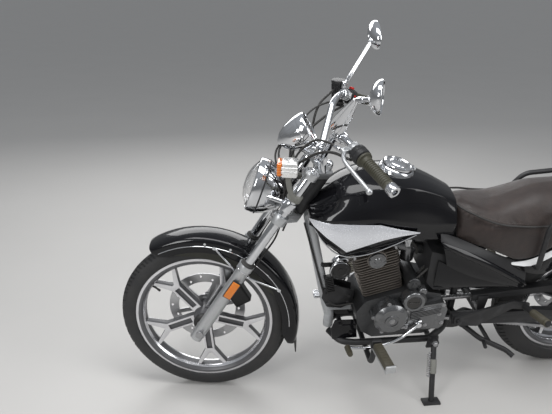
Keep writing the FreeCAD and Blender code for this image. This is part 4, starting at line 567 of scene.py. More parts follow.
printed("clock_needle", 200, (0.55, 0.02, 0.01), (0.70, 0.04, 0.02), 0.4)
print("finishes made:", len(finishes))

# The machine's solids that stay: each gets its slot's finish and edges rounded by this much
dressing = {
    "frame": 0.6, "down_tube": 0.4, "crankcase": 2, "engine_covers": 2.5, "cylinder": 0.7, "cylinder_head": 0.7,
    "carburettor": 1, "airbox": 3, "exhaust": 1, "grab_rail": 0.5, "swingarm": 2.5, "rear_axle": 0.8,
    "shock_absorbers": 0.8, "shock_springs": 0, "drive_chain": 0.6, "chain_guard": 0.6, "rear_caliper": 1,
    "passenger_pegs": 0.8, "clutch_cable": 0, "side_stand": 0.8, "centre_stand": 0.6, "steering_yokes": 1.4,
    "fork_tubes": 0.6, "fork_lowers": 1.4, "front_axle": 0.8, "handlebar": 0.6, "headlight_shell": 0.8,
    "instrument": 0.8, "front_caliper": 1, "brake_hose": 0, "front_wheel": 0.8, "front_disc": 0.3,
    "rear_wheel": 0.8, "rear_disc": 0.3, "rear_sprocket": 0.4,
}
bodyOf = {n: b for b, ns in frame["record"]["behaviour"]["bodies"].items() for n in ns}
slotOf = {row["node"]: row["material_slot"] for row in frame["record"]["subparts"]}


def dressed(node, bevel):
    # a merged copy of the solid, its flat parts in one face each and its edges rounded
    obj = copyOf(frame["nodes"][node], Matrix.Identity(4))
    for key in list(obj.keys()):
        del obj[key]
    obj.parent = None
    obj.matrix_world = Matrix.Identity(4)
    edit(obj, (bpy.ops.mesh.customdata_custom_splitnormals_clear, {}),
         (bpy.ops.mesh.remove_doubles, {"threshold": 0.00002}),
         (bpy.ops.mesh.dissolve_limited, {"angle_limit": math.radians(1)}))
    if bevel:
        soften(obj, bevel, 2, 38)
    finish = node + "_cast" if node.endswith("_wheel") else slotOf[node]
    piece(obj, node + "_dressed", finish, bodyOf[node], [node], 32, upright=False)


for node, bevel in dressing.items():
    dressed(node, bevel)
print("solids dressed:", len(dressing))

# Bodywork
tank = {
    # x, ridge z, upper crease y and z, lower crease y and z, hem y and z
    "sections": (
        (1044, 770, 36, 762, 66, 742, 60, 706), (1000, 802, 70, 780, 112, 752, 100, 700),
        (930, 850, 92, 820, 130, 760, 118, 690), (840, 876, 98, 848, 138, 765, 122, 684),
        (740, 874, 94, 850, 132, 748, 116, 672), (650, 842, 82, 822, 118, 728, 104, 660),
        (562, 794, 64, 780, 102, 716, 92, 652),
    ),
    "roof": ((1061, 781), (820, 752), (560, 668)), "roofGap": 9, "tunnelHalf": 30, "edge": 2.2,
}


def along(line, x):
    # height of a line of (x, z) points, given from front to back
    for (x0, z0), (x1, z1) in zip(line[:-1], line[1:]):
        if x >= x1:
            return z0 + (z1 - z0) * (x - x0) / (x1 - x0)
    return line[-1][1]


def closeEnds(obj):
    # each open end gets a face of its own
    return tidy(edit(obj, (bpy.ops.mesh.select_mode, {"type": "EDGE"}), (bpy.ops.mesh.fill_holes, {"sides": 0})))


def buildTank():
    rows = []
    half = tank["tunnelHalf"]
    for x, ridge, ay, az, by, bz, cy, cz in tank["sections"]:
        roof = min(ridge - tank["roofGap"], along(tank["roof"], x))
        drop = ridge - az
        crown = [(x, 0, ridge), (x, ay * 0.5, ridge - drop * 0.22), (x, ay * 0.86, ridge - drop * 0.66), (x, ay, az)]
        flank = [(x, ay, az), (x, ay + (by - ay) * 0.62, az + (bz - az) * 0.5), (x, by, bz)]
        tuck = [(x, by, bz), (x, (by + cy) / 2 - 1, (bz + cz) / 2), (x, cy, cz)]
        rows.append([crown, flank, tuck] + creased([(x, cy, cz), (x, half + 4, cz - 3), (x, half, roof), (x, 0, roof)]))
    shell = closeEnds(mirrored(skin(rows, 6, 5)))
    piece(soften(shell, tank["edge"], 3, 24), "tank_shell", "black_gloss", stands=["fuel_tank"], angle=28)


cap = {"at": (756, 0, 880), "tilt": -14, "radius": 50, "neck": 57, "boltRing": 44}


def buildCap():
    r, neck = cap["radius"], cap["neck"]
    place = shift(cap["at"]) @ turned(cap["tilt"], "Y")
    collar = lathe([(neck + 3, -14), (neck + 1, -4), (neck - 3, 1.2), (r + 2, 2.6), (r + 0.6, 2), (r + 0.6, -14)], 96,
                   axis="Z")
    lugs = [block((8, 5, 14), (-54.8, side * 10, 4.8), 1.4) for side in (1, -1)]
    pin = roundBar((-54, -13, 8.8), (-54, 13, 8.8), 1.5, 16, bevel=0.3)
    piece(moved(joined(collar, *lugs, pin), place), "filler_collar", "chrome")
    lid = lathe([(0, 5), (r, 5), (r, 10), (r - 1.5, 13), (r - 8, 14.4), (r - 10, 12.2), (r - 19, 12.6), (r - 22, 16),
                 (r - 30, 18), (0, 18.4)], 96, axis="Z")
    hub = roundBar((0, -22, 17), (0, -22, 20.5), 10, 32)
    flap = block((26, 13, 3), (0, -20, 21), 1.2)
    bolts = [roundBar((x, y, 11), (x, y, 14.6), 3.2, 12)
             for x, y in ring((0, 0), cap["boltRing"], range(36, 396, 72))]
    hinge = roundBar((-54, -7, 8.8), (-54, 7, 8.8), 4, 20)
    tongue = block((9, 13, 4), (-49.5, 0, 10.8), 1)
    lid = moved(joined(lid, hub, flap, *bolts, hinge, tongue), place)
    piece(lid, "filler_lid", "chrome", "tank_lid", ["fuel_cap"])


wing = {
    "upper": ((1052, 72, 741), (1004, 110, 743), (930, 131, 746), (832, 141, 747), (760, 137, 724), (692, 129, 706)),
    "middle": ((1036, 92, 722), (1000, 120, 696), (936, 150, 655), (820, 154, 698), (760, 144, 704), (694, 130, 703)),
    "lower": ((1030, 84, 706), (1000, 104, 664), (944, 118, 622), (880, 124, 622), (790, 122, 650), (700, 116, 690)),
    "wall": 3, "trim": 2.4, "hem": (0, -26, -4),
}


def sidePanel(rails, side, name, finish, wall, stands=(), along=3, across=2, edge=0.8, crease=22, angle=26):
    # a moulded panel through rails, thick inwards, for one side of the machine
    rows = [creased([(x, side * y, z) for x, y, z in points]) for points in zip(*rails)]
    obj = skin(rows, along, across)
    faceOut(obj, lambda face: face.normal.y * side * face.area)
    soften(thicken(obj, wall), edge, 2, crease)
    piece(obj, name + ("_left" if side > 0 else "_right"), finish, stands=stands, angle=angle)


def buildWing():
    # faceted side panel under the tank: bright upper facet, black lower facet, thin bright edge
    upper, middle, lower = wing["upper"], wing["middle"], wing["lower"]
    inset = [[a + b for a, b in zip(point, wing["hem"])] for point in lower]
    for side, label in sides:
        for name, rails, finish, stands in (("wing_facet", (upper, middle), "silver_paint", ["tank_panels"]),
                                            ("wing_keel", (middle, lower), "black_gloss", ()),
                                            ("wing_hem", (lower, inset), "black_gloss", ())):
            sidePanel(rails, side, name, finish, wing["wall"], stands, 1, 2, 0.9, 30, 24)
        trim = pipe([(x, side * (y + 1), z) for x, y, z in lower], wing["trim"], resolution=4)
        piece(trim, "wing_trim" + label, "chrome")


buildTank()
buildCap()
buildWing()
print("tank, cap and side wings built")

seatShape = {
    # x, crown z, piping y and z, foot y and z, underside z
    "sections": (
        (553, 774, 50, 760, 82, 652, 662), (500, 758, 90, 741, 106, 630, 644), (420, 749, 116, 718, 125, 604, 624),
        (340, 774, 123, 710, 128, 576, 618), (270, 799, 122, 707, 127, 584, 622), (190, 806, 118, 712, 122, 624, 652),
        (120, 808, 114, 719, 117, 666, 676), (-60, 808, 104, 742, 105, 699, 704), (-146, 794, 80, 757, 82, 720, 724),
    ),
    "voxel": 5, "pressure": 4, "mostMove": 7, "shrink": 3.5, "piping": 3.2, "wall": 17, "frames": 20,
    "nose": (564, 0, 768), "end": (-162, 0, 768), "stitch": 9, "stitchHalf": 2.4, "thread": 0.65,
}


def padOut(obj, voxel, pressure, mostMove, shrink):
    # remeshed, then blown up as cloth; no point moves further than mostMove
    modify(obj, "REMESH", mode="VOXEL", voxel_size=voxel * mm)
    modify(obj, "SMOOTH", factor=0.5, iterations=3)
    edit(obj, (bpy.ops.transform.shrink_fatten, {"value": -shrink * mm}))
    before = [p.co.copy() for p in obj.data.vertices]
    cloth = obj.modifiers.new("cloth", "CLOTH")
    cloth.settings.use_pressure = True
    cloth.settings.uniform_pressure_force = pressure
    cloth.settings.effector_weights.gravity = 0
    cloth.settings.quality = 5
    cloth.point_cache.frame_start = 1
    cloth.point_cache.frame_end = seatShape["frames"]
    scene = bpy.context.scene
    for step in range(1, seatShape["frames"] + 1):
        scene.frame_set(step)
    solo(obj)
    bpy.ops.object.modifier_apply(modifier="cloth")
    scene.frame_set(1)
    for p, start in zip(obj.data.vertices, before):
        move = p.co - start
        if move.length > mostMove * mm:
            p.co = start + move.normalized() * mostMove * mm
    return modify(obj, "SMOOTH", factor=0.5, iterations=2)


def buildSeat():
    rows = []
    for x, crown, py, pz, fy, fz, under in seatShape["sections"]:
        drop = crown - pz
        top = [(x, 0, crown), (x, py * 0.45, crown - drop * 0.12), (x, py * 0.80, crown - drop * 0.46), (x, py, pz)]
        wall = [(x, py, pz), (x, (py + fy) / 2 + 2.5, (pz + fz) / 2), (x, fy, fz)]
        inner = fy - seatShape["wall"]
        rows.append([top, wall] + creased([(x, fy, fz), (x, inner, fz + 1), (x, inner - 3, under), (x, 0, under)]))
    body = closeEnds(mirrored(skin(rows, 5, 4)))
    padOut(body, *[seatShape[k] for k in ("voxel", "pressure", "mostMove", "shrink")])
    modify(body, "SUBSURF", levels=1, render_levels=1)
    piece(body, "seat_cushion", "seat_leather", stands=["seat"], angle=60)
    # piping runs round the top panel, from the nose on the left to the nose on the right
    left = [(row[0], row[2] + 1.5, row[3] + 0.5) for row in seatShape["sections"]]
    right = [(x, -y, z) for x, y, z in left]
    line = pipe([seatShape["nose"]] + left + [seatShape["end"]] + right[::-1], seatShape["piping"], closed=True,
                resolution=12)
    piece(line, "seat_piping", "rubber")
    # stitches sit just above the piping
    half = seatShape["stitchHalf"]
    seed = roundBar((-half, 0, 0), (half, 0, 0), seatShape["thread"], 6, bevel=0)
    copies = []
    for side in (1, -1):
        path = eased([Vector((x, side * (y - 5.5), z + 7)) for x, y, z in left], 12)
        walked = 0
        for a, b in zip(path[:-1], path[1:]):
            step = (b - a).length
            turn = (b - a).to_track_quat("X", "Z").to_matrix().to_4x4()
            while walked < step:
                copies.append(copyOf(seed, shift(a + (b - a) * (walked / step)) @ turn))
                walked += seatShape["stitch"]
            walked -= step
    piece(joined(seed, *copies), "seat_stitching", "seat_thread")


sideCover = {
    # rails from front to rear, as (x, y, z)
    "tuck": ((610, 98, 684), (540, 98, 656), (473, 110, 628), (400, 117, 598), (330, 117, 566), (282, 114, 534)),
    "top": ((612, 120, 660), (540, 128, 634), (473, 131, 603), (400, 132, 562), (330, 130, 518), (282, 126, 486)),
    "ridge": ((606, 128, 650), (536, 138, 620), (468, 141, 588), (394, 141, 547), (326, 138, 504), (277, 132, 476)),
    "valley": ((599, 124, 637), (530, 133, 604), (462, 136, 570), (388, 136, 530), (322, 133, 490), (274, 128, 466)),
    "panel": ((597, 118, 633), (528, 127, 599), (460, 130, 565), (386, 131, 525), (321, 129, 486), (274, 125, 463)),
    "foot": ((572, 112, 556), (520, 118, 529), (466, 121, 506), (396, 124, 484), (330, 124, 466), (286, 122, 453)),
    "under": ((600, 103, 572), (530, 110, 536), (466, 113, 512), (396, 116, 490), (340, 117, 474)),
    "bulge": ((602, 106, 512), (530, 111, 494), (466, 114, 482), (396, 116.5, 471), (332, 117, 463)),
    "sill": ((598, 98, 455), (530, 104, 453), (466, 107, 452), (396, 110, 451), (322, 113, 450)),
}
cowl = {
    "top": ((350, 120, 564), (282, 123, 575), (214, 121, 606), (172, 110, 624),
            (120, 109, 650), (-60, 107, 684), (-150, 99, 699), (-238, 84, 712)),
    "border": ((346, 126, 558), (282, 131, 553), (211, 125, 581), (172, 112, 596),
               (120, 112, 618), (-60, 111.5, 660), (-150, 104, 682), (-240, 88, 700)),
    "foot": ((338, 122, 546), (282, 124, 520), (217, 119, 508), (172, 108, 520),
             (120, 107, 545), (-60, 104, 614), (-150, 96, 646), (-238, 80, 674)),
    "hem": ((338, 108, 548), (282, 106, 522), (217, 103, 510), (172, 94, 522),
            (120, 92, 547), (-60, 90, 616), (-150, 82, 648), (-236, 66, 676)),
}
panels = {
    # name: rails' table, rails from the top down, finish, node it stands for
    "side_cover_flange": (sideCover, ("tuck", "top"), "black_plastic", ()),
    "side_cover_moulding": (sideCover, ("top", "ridge", "valley", "panel", "foot"), "black_gloss", ["side_covers"]),
    "side_cover_lower": (sideCover, ("under", "bulge", "sill"), "black_gloss", ()),
    "tail_cowl_upper": (cowl, ("top", "border"), "white_paint", ["tail_cowl"]),
    "tail_cowl_lower": (cowl, ("border", "foot", "hem"), "black_gloss", ()),
}
panelWall = 3


def buildFlanks():
    for side, label in sides:
        for name, (table, rails, finish, stands) in panels.items():
            sidePanel([table[rail] for rail in rails], side, name, finish, panelWall, stands)


fender = {
    "front": {"start": 57, "end": 193, "radius": 337, "half": 55, "skirt": 40, "centre": axles["front"]},
    "rear": {"start": 62, "end": 172, "radius": 343, "half": 71, "skirt": 58, "centre": axles["rear"]},
    "wall": 2.4, "steps": 44, "stayFoot": 250, "stayY": 73.7, "guardSteps": 24,
}


def onFender(row, turn, drop, y):
    x, z = ring(row["centre"], row["radius"] + drop, [turn])[0]
    return (x, y, z)


def fenderShell(row):
    # crowned channel round the wheel; both ends of the skirt are cut back in a curve
    rows = []
    for k in range(fender["steps"] + 1):
        t = k / fender["steps"]
        reach = row["end"] - row["start"]
        nearEnd = min(t, 1 - t) * reach
        drop = row["skirt"] * min(1, 0.25 + 0.75 * math.sin(math.radians(min(90, nearEnd * 9))))
        half = row["half"] * (1 - 0.10 * max(0, 1 - nearEnd / 6) ** 2)
        section = ((0, 0), (half * 0.45, -1.6), (half * 0.8, -6.5), (half * 0.95, -14), (half, -24),
                   (half, -24 - drop * 0.5), (half - 1, -22 - drop * 0.9))
        rows.append([onFender(row, row["start"] + reach * t, d, y) for y, d in section])
    obj = mirrored(skin(rows, 1, 3))
    centre = Vector((row["centre"][0], 0, row["centre"][1])) * mm
    faceOut(obj, lambda face: face.normal.dot(face.center - centre))
    return soften(thicken(obj, fender["wall"]), 0.9, 2, 40)


def buildFenderStays(row):
    # bright stays from the skirts to the fork legs, and the dark guard inside the skirts
    last = fender["guardSteps"]
    for side, label in sides:
        bars = []
        across = Vector((0, side, 0))
        foot = Vector(forkPoint(fender["stayFoot"], side * fender["stayY"]))
        for turn in (98, 150):
            edge = Vector(onFender(row, turn, -34, side * (row["half"] - 1)))
            bars += [roundBar(edge, foot, 3.6, 16), roundBar(edge - across * 4, edge + across * 5, 7, 6)]
        boss = roundBar(foot - across * 4, foot + across * 4, 13, 32, bevel=1.2)
        frontPiece(joined(boss, *bars), "front_fender_stay" + label, "chrome")
        rows = []
        for k in range(last + 1):
            drop = 30 * math.sin(math.pi * k / last) ** 0.6
            rows.append([onFender(row, 70 + 84 * k / last, d, side * (row["half"] - 5 - inward))
                         for d, inward in ((-50, 0), (-58, 1), (-60 - drop, 5))])
        guard = tidy(thicken(skin(rows, 1, 2), 2, 0))
        frontPiece(soften(guard, 0.6, 2, 40), "fender_guard" + label, "inner_guard")


def buildFenders():
    row = fender["front"]
    x, y, z = onFender(row, row["end"] - 1.5, -4, 0)
    flap = moved(block((4, 84, 56), bevel=1.5), shift((x, y, z - 18)) @ turned(8, "Y"))
    frontPiece(flap, "fender_flap", "rubber")
    frontPiece(fenderShell(row), "front_fender_shell", "black_gloss", ["front_fender"])
    buildFenderStays(row)
    for side, label in sides:
        first, last, steps = row["start"] + 4, row["end"] - 14, 24
        trim = pipe([onFender(row, first + (last - first) * k / steps, -34, side * (row["half"] + 0.4))
                     for k in range(steps + 1)], 1.5, resolution=3)
        rivets = crossBars(ring(row["centre"], row["radius"] - 24, (92, 108, 124)), side * (row["half"] - 2),
                           side * (row["half"] + 2.6), 4.5, 16)
        frontPiece(joined(trim, *rivets), "fender_trim" + label, "chrome")
    piece(fenderShell(fender["rear"]), "rear_fender_shell", "black_gloss", stands=["rear_fender"])
    bolts = [roundBar((-112.5, y, 650), (-116.5, y, 650), 6, 6) for y in (-18, 18)]
    piece(joined(block((24, 60, 46), (-100, 0, 646)), *bolts), "rear_fender_mount", "frame_black")


buildSeat()
print("seat built")
buildFlanks()
buildFenders()
print("side covers, tail and fenders built")

tyre = {
    "front": {"crown": 298, "half": 37, "rim": 242.5, "seat": 229, "bead": 32, "pitches": 54},
    "rear": {"crown": 302, "half": 55, "rim": 217.5, "seat": 203, "bead": 46, "pitches": 44},
    "columns": 6, "lean": 4.8, "deep": 3.2, "treadEnds": 57,
}


def buildTyre(which):
    row = tyre[which]
    crown, half, rim, bead = row["crown"], row["half"], row["rim"], row["bead"]
    low = crown - half
    # half profile from the crown to the bead, as (radius, across)
    points = [(crown, 0)]
    points += [(low + half * math.cos(a), half * math.sin(a))
               for a in map(math.radians, (9, 12, 24, 27, 40, 52, 56, 70))]
    points += [(low + 2, half - 0.4), (rim + (low - rim) * 0.60, half - 0.2), (rim + (low - rim) * 0.30, half - 2),
               (rim + 6, bead + 3.6), (rim + 2.4, bead + 3), (rim + 0.8, bead + 1.4), (rim + 0.8, bead - 4.6)]
    inside = [(row["seat"] + 1, bead - 4.6), (row["seat"] + 1, -bead + 4.6)]
    segments = row["pitches"] * tyre["columns"]
    obj = lathe(points + inside + [(r, -y) for r, y in points[:0:-1]], segments)
    # the tread's columns lean back towards the shoulders, so that the grooves run in a V
    treadLow = (low + half * math.cos(math.radians(tyre["treadEnds"]))) * mm
    step = math.tau / segments
    for p in obj.data.vertices:
        if math.hypot(p.co.x, p.co.z) > treadLow:
            turn = abs(p.co.y) / (half * mm) * tyre["lean"] * step
            c, s = math.cos(turn), math.sin(turn)
            p.co.x, p.co.z = p.co.x * c - p.co.z * s, p.co.x * s + p.co.z * c

    def inGroove(centre):
        if math.hypot(centre.x, centre.z) < treadLow + 0.0006:
            return False
        across = abs(centre.y) / (half * mm)
        turn = (math.atan2(centre.z, centre.x) - across * tyre["lean"] * step) % math.tau
        column = int(turn / step + 0.001) % tyre["columns"]
        # two rings and two slanted cuts in each pitch
        onRing = 0.16 < across < 0.205 or 0.41 < across < 0.452
        onCut = (column == 0 and across > 0.45) or (column == 3 and 0.2 < across < 0.8)
        return onRing or onCut

    edit(obj, (bpy.ops.mesh.select_mode, {"type": "FACE"}), (bpy.ops.mesh.select_all, {"action": "DESELECT"}))
    for face in obj.data.polygons:
        face.select = inGroove(face.center)
    bpy.ops.object.mode_set(mode="EDIT")
    bpy.ops.mesh.extrude_region_shrink_fatten(TRANSFORM_OT_shrink_fatten={"value": -tyre["deep"] * mm})
    bpy.ops.object.mode_set(mode="OBJECT")
    x, z = axles[which]
    moved(obj, shift((x, 0, z)))
    tyreRubber(which, crown, half)
    piece(obj, which + "_tyre_tread", which + "_tyre", which + "_roller", [which + "_tyre"], 34)


buildTyre("front")
buildTyre("rear")
print("tyres built")

# Front end: lamp, clock, bar, mirrors, signals
fork = {"half": 100, "tube": 16.5, "lower": 22, "topOfLower": 318, "topOfTube": 700, "yokeLow": 496, "yokeTop": 702,
        "way": (-0.5, 0, 0.866)}
lamp = {"centre": (1222, 0, 814), "tilt": 17, "halfWide": 82, "halfHigh": 92, "dome": 30, "facets": 32}


def buildHeadlight():
    r = lamp["halfHigh"]
    place = (shift(lamp["centre"]) @ turned(-lamp["tilt"], "Y")
             @ Matrix.Diagonal((1, lamp["halfWide"] / lamp["halfHigh"], 1, 1)))
    outer, inner = [], []
    for share in [k / 8 for k in range(9)]:
        rise = lamp["dome"] * (1 - share ** 2.3)
        outer.append(((r - 8.6) * share, rise - 1))
        inner.append(((r - 8.6) * share, rise - 4))
    # name: finish, segments, smoothed up to, outline; the mirror bowl lies in upright facets
    parts = {
        "bezel": ("chrome", 96, 50, [(r + 0.2, -24), (r + 1.2, -20), (r + 0.9, -6), (r - 0.4, -0.5), (r - 3, 2.4),
                                     (r - 6, 2.6), (r - 8.2, 0.2), (r - 8, -4), (r - 3, -6), (r - 3, -24)]),
        "band": ("black_plastic", 96, 35, [(r + 0.4, -33), (r + 1.6, -31.5), (r + 1.6, -29.5), (r + 0.4, -28),
                                           (r - 1, -28), (r - 1, -33)]),
        "glass": ("lens_glass", 96, 60, outer + inner[::-1]),
        "reflector": ("chrome", lamp["facets"], 8, [
            (r - 9, -6), (r - 14, -20), (r - 26, -36), (r - 40, -47), (26, -53), (13, -54.5), (13, -56.5), (26, -55.5),
            (r - 39, -50), (r - 24, -39), (r - 12, -22), (r - 7.6, -6)]),
        "bulb": ("lens_glass", 40, 50, [(0, -8), (6, -9.5), (9.5, -14), (10.5, -22), (9, -30), (7, -34), (7, -54),
                                        (0, -54)]),
        "bulb_shade": ("chrome", 40, 35, [(13, -26), (14, -24), (16, -24), (16.6, -26), (16.6, -48), (13, -48)]),
    }
    for name, (finish, segments, smooth, outline) in parts.items():
        frontPiece(moved(lathe(outline, segments, axis="X"), place), "headlight_" + name, finish,
                   ["headlight_lens"] if name == "glass" else (), smooth)
    turns = (-90, 35, 145)
    screws = [roundBar((-14, *a), (-14, *b), 3.4, 16, bevel=0.5)
              for a, b in zip(ring((0, 0), r + 0.6, turns), ring((0, 0), r + 3, turns))]
    frontPiece(moved(joined(*screws), place), "headlight_screws", "steel")


clock = {"centre": (1050, 0, 1010), "radius": 55, "tilt": 30, "highest": 140, "step": 20, "mark": 5,
         "firstDeg": 225, "sweepDeg": 270, "figures": 34, "figureSize": 8.6}


def buildClock():
    # drawn with x to the rider's right, y up the dial, z out of it
    r = clock["radius"]
    a = math.radians(clock["tilt"])
    out, right = Vector((-math.cos(a), 0, math.sin(a))), Vector((0, -1, 0))
    place = shift(clock["centre"]) @ axes(right, out.cross(right), out)

    def dialTurn(share):
        return clock["firstDeg"] - clock["sweepDeg"] * share

    marks = []
    steps = clock["highest"] // clock["mark"]
    for k in range(steps + 1):
        size, x = ((7, 1.5, 0.5), 44) if k % 4 == 0 else ((4, 0.7, 0.5), 45.4)
        marks.append(moved(block(size, (x, 0, -2.9), 0), turned(dialTurn(k / steps), "Z")))
    for k in range(0, clock["highest"] + 1, clock["step"]):
        word = added(bpy.ops.object.text_add)
        word.data.body = str(k)
        word.data.size = clock["figureSize"] * mm
        word.data.align_x = word.data.align_y = "CENTER"
        word.data.extrude = 0.15 * mm
        bpy.ops.object.convert(target="MESH")
        marks.append(moved(word, shift((*ring((0, 0), clock["figures"], [dialTurn(k / clock["highest"])])[0], -3))))
    needle = moved(block((46, 1.8, 0.9), (17, 0, -1.6), 0.3, 1), turned(clock["firstDeg"] - 2, "Z"))
    hub = lathe([(0, -0.2), (4.5, -0.3), (5.4, -1), (5.6, -3.4), (0, -3.4)], 32, axis="Z")
    parts = {
        # name: finish, smoothed up to, piece as drawn
        "rim": ("chrome", 50, lathe([(r + 0.3, -26), (r + 1.6, -22), (r + 1.6, -4), (r + 0.4, 0.8), (r - 2, 2.6),
                                     (r - 4.6, 1.6), (r - 5.2, -1.6), (r - 1, -2.4), (r - 1, -26)], 96, axis="Z")),
        "dial": ("clock_face", 35, lathe([(0, -3.9), (r - 4.3, -3.9), (r - 4.3, -2.9), (r - 12, -3.3), (0, -3.3)], 72,
                                         axis="Z")),
        "marks": ("clock_print", 20, joined(*marks)),
        "needle": ("clock_needle", 35, needle),
        "hub": ("black_plastic", 35, joined(hub, block((24, 7, 1), (0, -16, -3), 0.8))),
        "glass": ("lens_glass", 50, lathe([(0, 1.6), (r - 22, 1.2), (r - 4.8, -0.6), (r - 4.8, -1.8), (r - 22, 0.2),
                                           (0, 0.6)], 72, axis="Z")),
    }
    for x, name, finish in ((-11, "left", "amber_front"), (0, "mid", "red_lens"), (11, "right", "amber_front")):
        light = lathe([(0, -1.9), (1.8, -2.2), (2.5, -3.3), (0, -3.4)], 20, (x, -27, 0), "Z")
        parts["light_" + name] = (finish, 35, light)
    for name, (finish, smooth, obj) in parts.items():
        frontPiece(moved(obj, place), "clock_" + name, finish, angle=smooth)


bar = {"bend": Vector((952, 241, 1060)), "end": Vector((843, 404, 996)), "radius": 11.1, "grip": 118, "pod": 36,
       "perch": 20, "ribs": 13, "gripRadius": 16}
gripWay = (bar["end"] - bar["bend"]).normalized()
leverWay = Vector((gripWay.y, -gripWay.x, 0)).normalized()
leverUp = gripWay.cross(leverWay) * -1


def onGrip(back, out=0, up=0):
    # a point on the left grip's axis, back from its end, moved out to the lever and up
    return bar["end"] - gripWay * back + leverWay * out + leverUp * up


def buildGrips():
    r, length, bore = bar["gripRadius"], bar["grip"], bar["radius"] + 0.3
    profile = [(bore, 0), (r - 1, 0), (r, 1.5), (r, 6)]
    pitch = (length - 26) / bar["ribs"]
    for y in [8 + pitch * k for k in range(bar["ribs"])]:
        profile += [(r - 1.3, y), (r - 1.3, y + pitch * 0.3), (r + 0.4, y + pitch * 0.42), (r + 0.4, y + pitch * 0.9)]
    profile += [(r, length - 16), (r + 1, length - 9), (r + 6.6, length - 6.5), (r + 7, length - 4.5),
                (r + 7, length - 1.5), (r + 5.5, length), (bore, length)]
    grip = aimed(lathe([(a, -b) for a, b in profile], 40), bar["end"], gripWay)
    twoSides(grip, "grip_rubber", "grip_rubber", stands=["grips"], angle=40)
    plug = lathe([(0, 12), (7.5, 12), (8.5, 25), (12.5, 26), (16.4, 24.5), (17, 22.5), (17, 3), (16, 1), (0, 0.4)], 48)
    twoSides(aimed(plug, bar["end"], gripWay), "bar_end_weight", "chrome")


def buildLevers():
    back, podEnd, bore = bar["grip"], bar["grip"] + bar["pod"], bar["radius"] + 0.3
    turn = axes(gripWay * -1, leverWay, leverUp)

    def podBlock(size, spot, bevel):
        return moved(block(size, bevel=bevel), shift(spot) @ turn)

    pod = lathe([(bore, 0.6), (21, 0.6), (24.4, 3), (25.2, 9), (25.2, 16.6), (24.2, 17.4), (25.2, 18.2), (25.2, 28),
                 (23.5, 34), (20.5, bar["pod"]), (bore, bar["pod"])], 40)
    aimed(pod, onGrip(back), gripWay * -1)
    joined(pod, podBlock((30, 26, 22), onGrip(back + 17, -4, -17), 5))
    twoSides(pod, "switch_pod", "black_plastic", stands=["hand_controls"], angle=40)
    for name, finish, size, along, out, up in (("switch_dip", "grip_rubber", (9, 5, 7), 9, -24, 6),
                                               ("switch_turn", "switch_red", (11, 5, 6), 24, -24, 2),
                                               ("switch_horn", "switch_cream", (8, 6, 8), 16, -22, -11)):
        twoSides(podBlock(size, onGrip(back + along, out, up), 1.6), name, finish)
    # perch with its clamp, bolt and lever pin
    perch = lathe([(bore, 0.5), (17, 0.5), (19, 2.5), (19, 17.5), (17.5, 19.5), (bore, 19.5)], 40)
    aimed(perch, onGrip(podEnd), gripWay * -1)
    middle = podEnd + bar["perch"] / 2
    pin = roundBar(onGrip(middle, 36, 9.5), onGrip(middle, 36, -9.5), 5)
    bolt = roundBar(onGrip(middle, -19, 10), onGrip(middle, -19, -10), 4, 6, bevel=0.4)
    joined(perch, podBlock((19, 34, 15), onGrip(middle, 27), 4), pin, bolt)
    twoSides(perch, "lever_perch", "fork_alloy", angle=40)
    # flat blade from its pivot along the grip to a ball
    elbow, far = onGrip(podEnd - 26, 57), onGrip(34, 61, -3)
    tip = onGrip(6, 60) - Vector((0, 0, 6))
    blade = pipe([onGrip(podEnd + 6, 36), elbow, (elbow + far) / 2 + leverWay * 2, far, tip], 6, rounds=4)
    ball = lathe([(0, -9), (5, -7.6), (8.2, -3.8), (8.8, 0), (8.2, 3.8), (5, 7.6), (0, 9)], 24)
    twoSides(joined(blade, aimed(ball, tip, gripWay)), "lever_blade", "fork_alloy", angle=60)
    # brake reservoir, a tapered cup on the right perch, and the red switch on the right pod
    cup = lathe([(0, 0), (17, 0), (19.5, 2), (24, 60), (24.5, 64), (26.5, 65), (26.5, 73), (24.5, 75), (10, 76),
                 (0, 76)], 48, axis="Z")
    turns = range(0, 360, 20)
    ribs = [roundBar((*a, 6), (*b, 60), 1.1, 6, bevel=0)
            for a, b in zip(ring((0, 0), 20.5, turns), ring((0, 0), 24.5, turns))]
    joined(cup, *ribs, block((40, 24, 20), (0, 0, -8), 4))
    centre = onGrip(podEnd - 2, 38) - Vector((0, 0, 26))
    frontPiece(moved(cup, shift((centre.x, -centre.y, centre.z))), "brake_reservoir", "black_plastic", angle=40)
    key = moved(podBlock((22, 11, 10), onGrip(back + 15, 0, 27), 3), Matrix.Diagonal((1, -1, 1, 1)))
    frontPiece(tidy(key), "stop_switch", "switch_red", angle=40)


mirror = {
    "long": 64, "high": 44,
    # side: head, clamp and the bar's way there, foot of the arm from its clamp, arm's top, arm's broad way
    1: ((882, 388, 1222), (963, 208, 1056), (-24, 73, 10), (20, 8, 18), (938, 300, 1188), (-0.736, 0.286, -0.613)),
    -1: ((830, -396, 1234), (938, -262, 1052), (-109, -163, -64), (0, 0, 28), None, (0.24, 0.94, 0.2)),
    # leaf's share of its length and half width there
    "leaf": ((0, 13), (0.05, 19), (0.18, 24), (0.34, 24), (0.55, 20), (0.78, 14), (0.93, 10), (1, 8)),
}


def leafArm(start, end, across):
    # flat tapered arm, broad near its foot, with a raised band along each face
    axis = (end - start).normalized()
    length = (end - start).length
    wide = Vector(across)
    wide = (wide - axis * wide.dot(axis)).normalized()
    layers = []
    for share, thick in ((1, 8), (0.5, 12)):
        half = [(t * length, h * share, 0) for t, h in mirror["leaf"]]
        layers.append(flatPlate(half + [(t, -h, 0) for t, h, z in half[::-1]], thick, 2.4 * share + 0.4, 3))
    return moved(joined(*layers), shift(start) @ axes(axis, wide, axis.cross(wide)))


